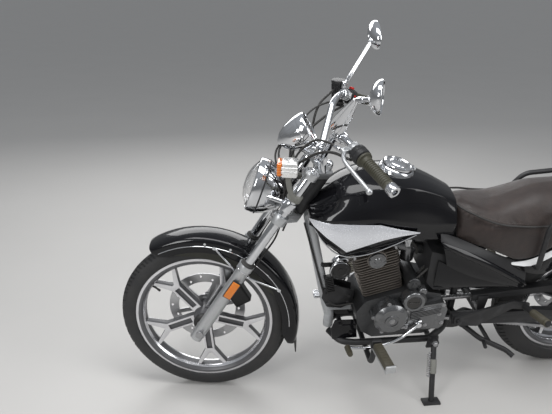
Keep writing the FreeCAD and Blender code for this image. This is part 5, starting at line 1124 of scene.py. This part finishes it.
def buildMirrors():
    r, bore = mirror["long"], bar["radius"] + 0.3
    for side, label in sides:
        head, clamp, way, ahead, leafTop, broad = mirror[side]
        head, clamp, way = Vector(head), Vector(clamp), Vector(way).normalized()
        turn = (shift(head) @ turned(side * -10, "Z") @ turned(side * 20, "X") @ turned(90, "Y") @ turned(90, "Z")
                @ Matrix.Diagonal((1, mirror["high"] / mirror["long"], 1, 1)))
        shell = lathe([(r - 3.5, 1.2), (r - 2.5, 0), (r - 0.8, 0.2), (r, 2), (r, 6), (r - 2, 11), (r - 9, 18),
                       (r - 22, 25), (r - 40, 29.5), (0, 31), (0, 27), (r - 24, 20), (r - 5, 5)], 80, axis="Z")
        frontPiece(moved(shell, turn), "mirror_shell" + label, "chrome", ["mirrors"] if side > 0 else (), 60)
        glass = lathe([(0, 3), (r - 4, 1.6), (r - 4, 4), (0, 5)], 80, axis="Z")
        frontPiece(moved(glass, turn), "mirror_glass" + label, "mirror_glass", angle=40)
        foot = clamp + Vector((0, 0, 14))
        far = head + Vector((20, side * -34, -16))
        top = Vector(leafTop) if leafTop else far
        stem = leafArm(clamp + Vector(ahead), top, broad)
        nut = roundBar(foot, foot + Vector((0, 0, 12)), 9, 6, bevel=0.8)
        cuff = lathe([(0, 0), (8.5, 0), (9.5, 3), (9, 12), (7, 20), (0, 20)], 24)
        aimed(cuff, foot + Vector((0, 0, 10)), (0, 0, 1))
        collar = lathe([(bore, -11), (16, -11), (18, -9), (18, 9), (16, 11), (bore, 11)], 36)
        aimed(collar, clamp, way)
        if leafTop:
            joined(stem, roundBar(top, far, 6.5, 20), roundBar(top.lerp(far, 0.12), top.lerp(far, 0.5), 9, 6))
        neck = lathe([(0, -13), (6.5, -12), (9.5, -6), (10.5, 0), (9.5, 6), (6.5, 12), (0, 13)], 24)
        aimed(neck, far, (far - foot).normalized())
        arm = roundBar(far, head + Vector((22, side * -12, -5)), 7.5, 20, endRadius=11)
        frontPiece(joined(stem, nut, cuff, collar, neck, arm), "mirror_stem" + label, "chrome", angle=50)


signal = {"centre": (1110, 138, 930), "size": (62, 62, 46), "bands": 4, "clampS": 590}


def bandedCase(core, centre, shiftX, size, bandsX):
    # a lamp's case of bands round a core, the outer bands a little smaller
    x, y, z = centre
    long, wide, high = size
    count = signal["bands"]
    bands = []
    for k in range(count):
        short = 4 if k in (0, count - 1) else 0
        bands.append(block((long - short, wide - short, high / count - 1.2),
                           (x + bandsX, y, z - high / 2 + high / count * (k + 0.5)), 3.4))
    return joined(block(core, (x + shiftX, y, z), 6), *bands)


def buildSignals():
    cx, cy, cz = signal["centre"]
    sx, sy, sz = signal["size"]
    case = bandedCase((sx - 16, sy - 3, sz - 3), signal["centre"], -8, (sx - 13, sy, sz), -6.5)
    twoSides(case, "signal_case", "signal_silver", stands=["front_signals"], angle=40)
    lens = block((15, sy - 5, sz - 5), (cx + sx / 2 - 7.5, cy, cz), 5.5, 4)
    twoSides(lens, "signal_lens", "amber_front", angle=50)
    tube, half, under = fork["tube"], fork["half"], cz - sz / 2
    root = Vector(forkPoint(signal["clampS"] + 12, half + tube + 3))
    stalk = pipe([root, root + Vector((8, 4, 12)), (cx - 4, cy, under - 16), (cx - 4, cy, under + 3)], 8.6, rounds=4)
    flare = lathe([(0, 0), (13, 0), (11, 6), (9, 14), (8.6, 22), (0, 22)], 32)
    aimed(flare, (cx - 4, cy, under + 2), (0, 0, -1))
    collar = lathe([(tube + 0.2, 0), (tube + 5.5, 0), (tube + 7, 2), (tube + 7, 22), (tube + 5.5, 24),
                    (tube + 0.2, 24)], 40)
    aimed(collar, forkPoint(signal["clampS"], half), fork["way"])
    twoSides(joined(stalk, flare, collar), "signal_stalk", "stalk_grey", angle=50)
    # amber reflectors in a dark frame on the fork's lower legs
    place = shift(forkPoint(178, half + fork["lower"] + 0.3, -2)) @ turned(-stance["rakeDeg"], "Y")
    for name, finish, size, y, bevel in (("reflector_frame", "black_plastic", (30, 6, 74), 3, 2),
                                         ("reflector_lens", "amber_reflector", (25, 4.4, 66), 6.8, 1.6)):
        twoSides(moved(block(size, (0, y, 37), bevel), place), name, finish)


def buildForkTrim():
    tube, half = fork["tube"], fork["half"]
    # name: finish, smoothed up to, sides, start on the fork leg, outline
    parts = {
        "fork_dust_seal": ("rubber", 40, 48, (fork["topOfLower"] - 4, half), [
            (tube + 0.1, 0), (24, 0), (24.6, 2), (22.4, 5), (19.6, 6.5), (19, 10), (17.6, 11.6), (tube + 0.1, 12)]),
        "fork_collar_ring": ("chrome", 35, 48, (fork["topOfLower"] - 28, half), [
            (26, 0), (26.8, 1), (26.8, 3), (26, 4), (25, 4), (25, 0)]),
        "fork_top_cap": ("chrome", 30, 6, (fork["topOfTube"] + 2, half), [
            (0, 11), (6.5, 11), (7.5, 10), (7.5, 6), (13, 5), (15.8, 3), (16, 0.2), (0, 0.2)]),
        "stem_nut": ("chrome", 50, 48, (fork["yokeTop"] + 14, 0, -50), [
            (0, 16), (6, 15), (11, 12), (14, 7), (15, 0.2), (0, 0.2)]),
    }
    for name, (finish, smooth, count, spot, outline) in parts.items():
        obj = aimed(lathe(outline, count), forkPoint(*spot), fork["way"])
        if name == "stem_nut":
            frontPiece(obj, name, finish, angle=smooth)
        else:
            twoSides(obj, name, finish, angle=smooth)
    # pinch bolts of both yokes, then drain screw and axle clamp bolt on the lower legs
    pinch = [roundBar(forkPoint(s, half + 14, 26), forkPoint(s, half - 16, 26), 5.2, 6)
             for s in (fork["yokeLow"] + 10, fork["yokeLow"] + 22, fork["yokeTop"] - 12)]
    twoSides(joined(*pinch), "yoke_pinch_bolts", "steel")
    drain = roundBar(forkPoint(18, half + 21), forkPoint(18, half + 24.5), 4.6, 6, bevel=0.5)
    nut = roundBar(forkPoint(-14, half + 12, 4), forkPoint(-14, half + 24, 4), 5, 6)
    twoSides(joined(drain, nut), "fork_low_bolts", "steel")


def buildCables():
    # control cables from the bar to the head; each bends in one easy curve
    left = onGrip(bar["grip"] + bar["pod"] + bar["perch"] / 2, 42) - gripWay * 8
    way = Vector((34, -44, 4))
    x, y, z = onGrip(bar["grip"] + 30) + Vector((14, -10, -26))
    runs = {
        "clutch_cable_upper": (3.4, [left, left + way, (1052, 150, 1012), (1096, 96, 930), (1110, 62, 850),
                                     (1098, 40, 770), (1072, 30, 722)]),
        "switch_loom_left": (4.2, [(x, y, z), (1000, 170, 996), (1056, 110, 950), (1108, 66, 880), (1126, 34, 830)]),
        "throttle_cable": (3.2, [(x, -y, z), (1000, -186, 1040), (1062, -128, 1012), (1104, -84, 930),
                                 (1106, -52, 850), (1088, -38, 760), (1066, -30, 716)]),
        "switch_loom_right": (4.2, [(x, -y, z - 8), (1010, -150, 996), (1070, -96, 948), (1112, -58, 876),
                                    (1126, -30, 826)]),
        "clock_cable": (3.2, [(1136, 0, 962), (1152, 20, 930), (1140, 48, 880), (1110, 54, 800), (1100, 56, 740),
                              (1118, 62, 680)]),
    }
    for name, (radius, points) in runs.items():
        frontPiece(pipe(points, radius, resolution=12), name, "rubber", angle=60)
    barrel = lathe([(0, 0), (5.5, 0), (6.5, 2), (6.5, 9), (5, 11), (5, 22), (4, 26), (0, 26)], 20)
    frontPiece(aimed(barrel, left, way.normalized()), "clutch_adjuster", "chrome", angle=30)


for build in (buildHeadlight, buildClock, buildGrips, buildLevers, buildMirrors, buildSignals, buildForkTrim,
              buildCables):
    build()
print("lamp, clock, bar and fork trim built")

# Engine trim, foot controls, lamps at the tail
engine = {"crank": (742, 346), "tilt": 16, "caseHalf": 88.3, "coverEdge": 128.3, "coverRadius": 62, "rearFace": 121.3,
          "rightFace": 110.3, "finTop": 250.3, "headTop": 280.3, "oilCap": (668, 88.3, 414), "starter": (672, 476)}


def enginePoint(ahead, y, up):
    # ahead is square to the cylinder, up runs along it from the crankshaft
    a = math.radians(engine["tilt"])
    cx, cz = engine["crank"]
    return (cx + math.cos(a) * ahead + math.sin(a) * up, y, cz - math.sin(a) * ahead + math.cos(a) * up)


def buildEngineTrim():
    edge, finTop, headTop = engine["coverEdge"], engine["finTop"], engine["headTop"]
    # ears and screws round the generator cover, screw in its boss
    spots = ring(engine["crank"], engine["coverRadius"] + 2, (78, 150, 222, 294, 6))
    ears = crossBars(spots, engine["caseHalf"], edge - 4, 8.5, 24, 1.2)
    piece(joined(*ears), "generator_cover_ears", "engine_alloy")
    rear = [(556, 392), (552, 312), (612, 305), (680, 298), (566, 352)]
    right = [(756, 382), (620, 390), (606, 306), (690, 272), (790, 274), (826, 318), (824, 362)]
    bolts = joined(sideBolts(spots, edge - 4), sideBolts([engine["crank"]], edge + 12, 7, 5),
                   sideBolts(rear, engine["rearFace"]), sideBolts(right, engine["rightFace"], side=-1))
    piece(bolts, "engine_cover_screws", "steel")
    # round polished cap with a dark middle, and the end of the starter behind it
    x, y, z = engine["oilCap"]
    rim = lathe([(27, 40), (30, 42), (36, 41), (39.5, 37.5), (40.5, 32), (40.5, 2), (37, 0.4), (27, 0.4)], 72,
                (x, y, z))
    piece(rim, "oil_cap_rim", "engine_alloy", angle=50)
    middle = lathe([(0, 41), (14, 40.8), (26.4, 39), (27.2, 37), (27.2, 30), (0, 30)], 48, (x, y, z))
    joined(middle, block((38, 3, 6), (x, y + 41.6, z), 1.2))
    piece(middle, "oil_cap_middle", "engine_gloss", angle=40)
    x, z = engine["starter"]
    end = lathe([(0, 9), (9, 8.6), (10, 6), (17, 5.4), (23, 2.6), (24.6, 0.2), (24.6, -12), (0, -12)], 48,
                (x, 104, z))
    tabs = [(x + 21 * math.cos(t), z + 21 * math.sin(t)) for t in (0.6, 3.74)]
    piece(joined(end, *crossBars(tabs, 103, 110, 3.4, 6, 0.5)), "starter_end", "engine_dark", angle=40)
    small = lathe([(0, 14), (11, 13.6), (14, 12), (15.6, 9), (15.6, -14), (0, -14)], 40, (640, 108, 452))
    piece(small, "shaft_cap", "engine_alloy", angle=50)
    # nuts on the head, spark plug with its cap and lead on the right
    nuts = [roundBar(enginePoint(ahead, y, finTop - 6), enginePoint(ahead, y, finTop + 10), 7.5, 6, 6.8, 0.8)
            for ahead in (-71.68, 71.68) for y in (-62.4, 62.4)]
    nuts += [roundBar(enginePoint(ahead, 0, headTop - 4), enginePoint(ahead, 0, headTop + 3), 6.5, 6, bevel=0.7)
             for ahead in (-30, 30)]
    piece(joined(*nuts), "head_nuts", "steel")
    lid = lathe([(0, 9), (10, 8.6), (12, 6.4), (22, 5.8), (25, 8), (29, 8), (31, 5), (31, -2), (0, -2)], 48,
                enginePoint(0, 76, finTop - 22))
    spots = [enginePoint(27 * math.cos(t), 0, finTop - 22 + 27 * math.sin(t))[::2] for t in (0.4, 3.54)]
    piece(joined(lid, sideBolts(spots, 83, 4.5, washer=False)), "cam_cover", "engine_alloy", angle=40)
    start = Vector(enginePoint(12, -66, 226))
    way = (Vector(enginePoint(26, -150, 262)) - start).normalized()
    plug = lathe([(0, 0), (7, 0), (11, 1), (11, 9), (8, 11), (6.5, 30), (0, 30)], 24)
    piece(aimed(plug, start, way), "spark_plug", "steel")
    cover = lathe([(0, 78), (5, 77), (6, 70), (9, 66), (9, 34), (11, 30), (11, 18), (8.6, 17), (0, 17)], 24)
    lead = pipe([start + way * 74, start + way * 96 + Vector((-4, 2, 12)), (838, -96, 640), (818, -52, 668),
                 (800, -30, 690)], 3.6, resolution=10)
    piece(joined(aimed(cover, start, way), lead), "plug_cap_and_lead", "rubber", angle=50)
    # fuel tap under the tank with its lever and hose to the carburettor
    bowl = lathe([(0, -18), (7, -17), (9, -14), (9.5, 0), (0, 0)], 28, (704, 62, 627), "Z")
    tap = joined(block((24, 20, 26), (704, 62, 640), 4), bowl, block((8, 5, 30), (702, 76, 632)),
                 roundBar((704, 62, 652), (704, 62, 668), 9), roundBar((704, 71, 640), (704, 79, 640), 8.5))
    piece(tap, "fuel_tap", "fork_alloy", angle=45)
    hose = pipe([(694, 62, 628), (676, 62, 612), (664, 56, 590), (660, 46, 566)], 4.4, resolution=10)
    piece(hose, "fuel_hose", "rubber", angle=60)
    # starter cable and breather hose
    cable = pipe([(664, 96, 496), (640, 92, 520), (610, 84, 548), (596, 70, 590)], 4, resolution=10)
    breather = pipe([(648, 40, 462), (632, 52, 500), (606, 56, 540), (590, 48, 580)], 6, resolution=10)
    piece(joined(cable, breather), "starter_cable", "rubber", angle=60)


def buildHorn():
    # horn behind the down tube, its bracket and the rectifier
    centre = (918, 30, 500)
    horn = lathe([(0, 12), (9, 12), (10, 9.6), (24, 9), (26, 11), (33, 11), (36, 8), (37, 3), (35, -3), (26, -8),
                  (20, -16), (0, -17)], 64, centre)
    piece(horn, "horn_body", "caliper_black", angle=40)
    band = lathe([(33.4, 11), (34, 12.6), (37, 11), (38.4, 6), (37.4, 3.6), (36.4, 8)], 64, centre)
    piece(band, "horn_band", "chrome", angle=50)
    arm = block((66, 5, 18), (956, 12, 508), 1)
    piece(joined(arm, sideBolts([(930, 504), (978, 512)], 15, 6, 5)), "horn_bracket", "frame_black")
    fins = [block((26, 6, 3), (0, 13, 8 * k - 28), 0.8) for k in range(8)]
    box = moved(joined(block((30, 22, 66)), *fins), shift((950, 29, 440)) @ turned(13, "Y"))
    piece(box, "rectifier", "caliper_black", angle=40)


plates = {
    # name: outline as (x, z), middle y, thick, screws, their y, radius and height
    "engine_mount": (((857, 398), (857, 344), (898, 322), (950, 330), (972, 372), (966, 414), (922, 424)), 23, 5,
                     ((872, 378), (876, 352), (954, 392), (948, 350)), 25.6, 6, 5.5, "frame_black"),
    "front_gusset": (((838, 216), (930, 214), (938, 262), (926, 302), (848, 300)), 66, 4,
                     ((862, 240), (906, 286)), 68.4, 6.5, 6, "black_gloss"),
}


def buildPlates():
    for name, (outline, y, thick, spots, boltY, radius, high, finish) in plates.items():
        for side, label in sides:
            plate = flatPlate([(x, side * y, z) for x, z in outline], thick, 1.2)
            joined(plate, sideBolts(spots, boltY, radius, high, side))
            if name == "front_gusset":
                joined(plate, roundBar((906, side * 34, 286), (906, side * 68, 286), 9, 20))
            piece(plate, name + label, finish)


def ribbedPad(size, ribs):
    # rubber foot pad along y, ribbed on its top
    long, wide, high = size
    return joined(block(size, bevel=4), *[
        block((long - 6, wide / ribs * 0.5, 3), (0, wide * (k + 0.5) / ribs - wide / 2, high / 2 + 0.4), 1)
        for k in range(ribs)])


foot = {"barZ": 182.2, "barX": 806, "pegStart": (804, 184, 289), "pegEnd": (788, 316, 292),
        "rest": (254, 127, 368), "restEnd": (240, 258, 402), "leverY": 121.6, "sleeveShare": 0.64, "sleeveRings": 9}


def buildFootControls():
    x, z = foot["barX"], foot["barZ"]
    start, end = Vector(foot["pegStart"]), Vector(foot["pegEnd"])
    arm = pipe([(x, 0, z), (x, 130, z), (x, 156, z + 3), (x, 170, z + 20), (x, 178, 250), (x - 2, 184, 289)], 10,
               rounds=4)
    joined(arm, block((36, 16, 34), (x - 2, 183, 288), 4), roundBar((x - 2, 176, 270), (x - 2, 176, 306), 5, 20))
    twoSides(arm, "foot_peg_bar", "frame_black", "chassis", ["foot_controls"], 50)
    turn = (end - start).to_track_quat("Y", "Z").to_matrix().to_4x4()
    pad = moved(ribbedPad((32, 112, 24), 9), shift(start.lerp(end, 0.50)) @ turn)
    twoSides(pad, "foot_peg_rubber", "peg_rubber", "chassis", angle=40)
    cap = joined(block((36, 9, 29), bevel=3.5), block((5, 122, 7), (14.5, -58, -12.5), 1.6))
    twoSides(moved(cap, shift(start.lerp(end, 0.965)) @ turn), "foot_peg_end", "fork_alloy", "chassis", angle=40)
    # gear lever on the left
    y = foot["leverY"]
    lever = pipe([(640, y + 8, 316), (668, y + 9, 288), (700, y + 12, 262), (780, y + 18, 234), (850, y + 20, 233),
                  (896, y + 20, 240)], 6, rounds=4)
    hub = lathe([(0, 0), (11, 0), (11, 12), (10, 14), (0, 14)], 32, (640, y, 316))
    joined(lever, hub, roundBar((650, y + 7, 322), (630, y + 7, 330), 4, 6))
    piece(lever, "gear_lever", "chrome", angle=50)
    grip = lathe([(9, 0), (10.4, 2)] + [(10.8 if k % 2 else 9.4, 4 + 4 * k) for k in range(11)]
                 + [(9, 50), (0, 50), (0, 0)], 28)
    piece(aimed(grip, (892, y + 18, 240), (0, 52, 10)), "gear_lever_rubber", "peg_rubber", angle=40)
    # brake pedal on the right
    hub = lathe([(10.2, 0), (17, 0), (17, 20), (10.2, 20)], 40, (x, -124, z))
    arm = pipe([(x, -114, z - 6), (840, -122, z - 6), (880, -150, z - 2), (910, -172, 196), (930, -186, 212)], 6.5,
               rounds=4)
    piece(joined(hub, arm), "brake_pedal_arm", "frame_black", angle=50)
    piece(moved(ribbedPad((48, 42, 11), 5), shift((932, -188, 218))), "brake_pedal_pad", "chrome", angle=40)
    # rubber sleeves on the passenger's pegs
    a, b = Vector(foot["rest"]), Vector(foot["restEnd"])
    length, count = (b - a).length * foot["sleeveShare"], foot["sleeveRings"]
    outline = [(11.2, 0), (13.5, 0.6)]
    for k in range(count):
        y = 3 + (length - 8) * k / count
        outline += [(13, y), (14.6, y + 2), (14.6, y + (length - 8) / count - 2.6)]
    outline += [(14.8, length - 3), (12.5, length), (0, length), (0, 0)]
    sleeve = aimed(lathe(outline, 32), a.lerp(b, 0.345), b - a)
    twoSides(sleeve, "passenger_peg_rubber", "peg_rubber", "chassis", angle=40)


stand = {"hinge": (566, 118, 226), "knee": (3, 20, -14), "sole": (588, 244, 40), "soleHigh": 7,
         "spring": (17, 4, 0), "hook": (19, 4, 0), "coil": 6, "wire": 1.5, "turns": 12}


def coil(start, end, radius, wire, turns, stops=8):
    axis = (end - start).normalized()
    side = axis.orthogonal().normalized()
    other = axis.cross(side)
    points = []
    for k in range(turns * stops + 1):
        turn = math.tau * k / stops
        points.append(start.lerp(end, k / (turns * stops)) + side * radius * math.cos(turn)
                      + other * radius * math.sin(turn))
    return pipe(points, wire, rounds=2, resolution=2)


def buildStandTrim():
    hinge = Vector(stand["hinge"])
    knee = hinge + Vector(stand["knee"])
    floorSpot = chassisPlace @ (Vector(stand["sole"]) * mm)
    floorSpot.z = stand["soleHigh"] * mm
    sole = chassisPlace.inverted() @ floorSpot / mm
    beside, reach = Vector(stand["spring"]), Vector(stand["hook"])
    sleeve = lathe([(10.2, 0), (12.6, 0.6), (13.2, 3), (13.2, 49), (12.6, 51.4), (10.2, 52)], 32)
    aimed(sleeve, knee.lerp(sole, 0.22), sole - knee)
    piece(sleeve, "side_stand_sleeve", "stalk_grey", "side_prop", angle=45)
    spring = coil(knee.lerp(sole, 0.10) + beside, knee.lerp(sole, 0.52) + beside, stand["coil"], stand["wire"],
                  stand["turns"])
    hooks = [roundBar(at, at + reach, 2.2, 12) for at in (knee.lerp(sole, 0.53), knee.lerp(sole, 0.09))]
    piece(joined(spring, *hooks), "side_stand_spring", "steel", "side_prop", angle=60)
    nut = lathe([(0, 26), (8, 26), (9.5, 24), (9.5, 18), (12, 17.6), (12, 16.2), (0, 16.2)], 6, hinge)
    piece(nut, "side_stand_nut", "steel", "side_prop", angle=30)


tail = {"turn": 140, "radius": 344.5, "plateTurn": 13, "plateOut": 5, "signal": (-243.6, 191, 506.4)}


def onRearFender(turn, out):
    # a place on the rear fender's crown, z out of it
    (x, z), = ring(axles["rear"], tail["radius"] + out, [turn])
    return shift((x, 0, z)) @ turned(90 - turn, "Y")


def buildTail():
    lens = joined(block((56, 112, 38), (0, 0, 38), 9, 5),
                  *[block((50, 2, 4), (0, 12 * k - 48, 56.4), 0.9) for k in range(9)])
    screws = [roundBar((-6, y, 6.6), (-6, y, 9.4), 4.5, 16) for y in (-50, 50)]
    lampSpot = onRearFender(tail["turn"], 0)
    plateSpot = onRearFender(tail["turn"] + tail["plateTurn"], tail["plateOut"])
    for name, finish, smooth, place, obj in (
            ("tail_lamp_base", "black_plastic", 35, lampSpot, block((62, 120, 15), (0, 0, 8), 4)),
            ("tail_lamp_rim", "chrome", 35, lampSpot, block((61, 119, 5), (0, 0, 17.5))),
            ("tail_lamp_lens", "red_lens", 50, lampSpot, lens),
            ("plate_holder", "black_plastic", 35, plateSpot, block((78, 150, 3), (-6, 0, 4), 1)),
            ("blank_plate", "white_paint", 35, plateSpot, block((70, 140, 2), (-6, 0, 6.2), 0.8)),
            ("plate_screws", "steel", 35, plateSpot, joined(*screws))):
        piece(moved(obj, place), name, finish, stands=["rear_lamps"] if name == "tail_lamp_base" else (),
              angle=smooth)
    cx, cy, cz = tail["signal"]
    case = bandedCase((44, 58, 42), tail["signal"], 8, (48, 62, 46), 6.5)
    twoSides(case, "rear_signal_case", "signal_silver", "chassis", angle=40)
    lens = block((15, 57, 41), (cx - 23.5, cy, cz), 5.5, 4)
    twoSides(lens, "rear_signal_lens", "amber_rear", "chassis", angle=50)
    stalk = lathe([(0, 0), (13, 0), (14, 4), (11, 9), (8.4, 14), (8, 60), (8.6, 72), (12, 84), (12, 92), (0, 92)], 32,
                  (cx, 73, cz))
    twoSides(stalk, "rear_signal_stalk", "stalk_grey", "chassis", angle=50)


wheelTrim = {
    # disc screws' y, rim's inner radius, valve's angle; the caliper's radius and angle
    "front": (52.4, 229, 30), "rear": (64.4, 203, 250), "screwRing": 52, "caliper": (128, 148),
}


def buildWheelTrim():
    # disc screws, valve stems, the clock's drive and the caliper's screws
    for which in ("front", "rear"):
        discY, seat, turn = wheelTrim[which]
        spots = ring(axles[which], wheelTrim["screwRing"], range(18, 378, 72))
        piece(sideBolts(spots, discY, 5.5, 5, -1), which + "_disc_screws", "steel", which + "_roller")
        stem = lathe([(0, 0), (5.5, 0), (5, 6), (3.6, 12), (3.6, 22), (4.4, 23), (4.4, 31), (3.2, 33), (0, 33)], 20)
        (x, z), = ring(axles[which], seat - 16, [turn])
        a = math.radians(turn)
        aimed(stem, (x, 0, z), (-math.cos(a), 0.25, -math.sin(a)))
        piece(stem, which + "_valve", "rubber", which + "_roller", angle=40)
    x, z = axles["front"]
    drive = lathe([(9, 48), (30, 48), (32, 50), (32, 58), (28, 62), (18, 64), (9, 64)], 48, (x, 0, z))
    joined(drive, roundBar((x - 18, 57, 318), (x - 40, 60, 340), 6.5, 20))
    frontPiece(drive, "clock_drive", "caliper_black", angle=40)
    clips = [forkPoint(*spot) for spot in ((120, 66, -24), (240, 67, -30), (360, 70, -32), (452, 70, -28),
                                           (540, 60, 10))]
    line = pipe([(x - 38, 60, 338)] + clips + [(1118, 56, 860), (1142, 30, 930), (1134, 0, 958)], 3.2, resolution=12)
    frontPiece(line, "clock_drive_cable", "rubber", angle=60)
    radius, turn = wheelTrim["caliper"]
    (x, z), = ring(axles["front"], radius, [turn])
    frontPiece(sideBolts([(x - 14, z + 12), (x + 16, z - 14)], 86, 6, 6, -1), "caliper_screws", "steel")


for build in (buildEngineTrim, buildHorn, buildPlates, buildFootControls, buildStandTrim, buildTail, buildWheelTrim):
    build()
print("engine trim, foot controls, tail and wheel trim built")

# Floor, light and camera
studio = {"floorSize": 160, "floorDrop": 0.0005, "floorColour": (0.50, 0.49, 0.475), "skyLow": (0.34, 0.345, 0.35),
          "skyHigh": (0.72, 0.75, 0.79), "skyTurns": 0.75, "skyStrength": 0.56}
lights = {
    # place, aim, size and power, in metres and watts
    "overhead": ((0.4, 0.6, 3.4), (0, 0, 0.5), (3.2, 1.2), 80),
    "front": ((2.9, 2.6, 2.3), (0.2, 0, 0.5), (1.1, 1.8), 66),
    "back": ((-2.6, 1.8, 2.2), (0, 0, 0.6), (1.6, 2), 45),
    "far": ((0.4, -3, 2.2), (0.2, 0, 0.6), (3, 1.4), 45),
}
view = {"yaw": -7.518, "pitch": 20.082, "roll": -0.675, "focalPixels": 650, "imageWidth": 552, "sensor": 36,
        "fromRearAxle": (1.4062, 2.0596, 1.1617)}


def buildStudio():
    floor = added(bpy.ops.mesh.primitive_plane_add, size=studio["floorSize"], location=(0, 0, -studio["floorDrop"]))
    floor.name = "floor"
    f = Finish("floor_plain")
    f.surface(Base_Color=f.blend(f.noise(2), studio["floorColour"], scaled(studio["floorColour"], 0.94)),
              Roughness=0.55)
    floor.data.materials.append(f.material)
    world = bpy.context.scene.world or bpy.data.worlds.new("studio")
    bpy.context.scene.world = world
    world.use_nodes = True
    nodes, links = world.node_tree.nodes, world.node_tree.links
    nodes.clear()
    where, split, ramp, back, out = [nodes.new(kind) for kind in (
        "ShaderNodeTexCoord", "ShaderNodeSeparateXYZ", "ShaderNodeValToRGB", "ShaderNodeBackground",
        "ShaderNodeOutputWorld")]
    for stop, at, colour in zip(ramp.color_ramp.elements, (0, studio["skyTurns"]), ("skyLow", "skyHigh")):
        stop.position = at
        stop.color = (*studio[colour], 1)
    back.inputs["Strength"].default_value = studio["skyStrength"]
    for source, target in ((where.outputs["Generated"], split.inputs[0]), (split.outputs["Z"], ramp.inputs[0]),
                           (ramp.outputs[0], back.inputs["Color"]), (back.outputs[0], out.inputs[0])):
        links.new(source, target)
    for name, (at, to, size, power) in lights.items():
        data = bpy.data.lights.new(name, "AREA")
        data.shape = "RECTANGLE"
        data.size, data.size_y = size
        data.energy = power
        light = bpy.data.objects.new(name, data)
        bpy.context.collection.objects.link(light)
        light.location = at
        light.rotation_euler = (Vector(to) - Vector(at)).to_track_quat("-Z", "Y").to_euler()


def buildCamera():
    yaw, pitch, roll = [math.radians(view[k]) for k in ("yaw", "pitch", "roll")]
    ahead = Vector((math.sin(yaw) * math.cos(pitch), -math.cos(yaw) * math.cos(pitch), -math.sin(pitch)))
    right = Vector((-math.cos(yaw), -math.sin(yaw), 0))
    down = ahead.cross(right)
    data = bpy.data.cameras.new("camera")
    data.sensor_width = view["sensor"]
    data.lens = view["sensor"] * view["focalPixels"] / view["imageWidth"]
    camera = bpy.data.objects.new("camera", data)
    bpy.context.collection.objects.link(camera)
    centre = Vector(joints["rear_wheel_spin"]["pos_m"]) + Vector(view["fromRearAxle"])
    camera.matrix_world = Matrix.Translation(centre) @ axes(
        right * math.cos(roll) + down * math.sin(roll), right * math.sin(roll) - down * math.cos(roll), -ahead)
    bpy.context.scene.camera = camera


buildStudio()
buildCamera()
bpy.context.scene.view_settings.view_transform = "Standard"
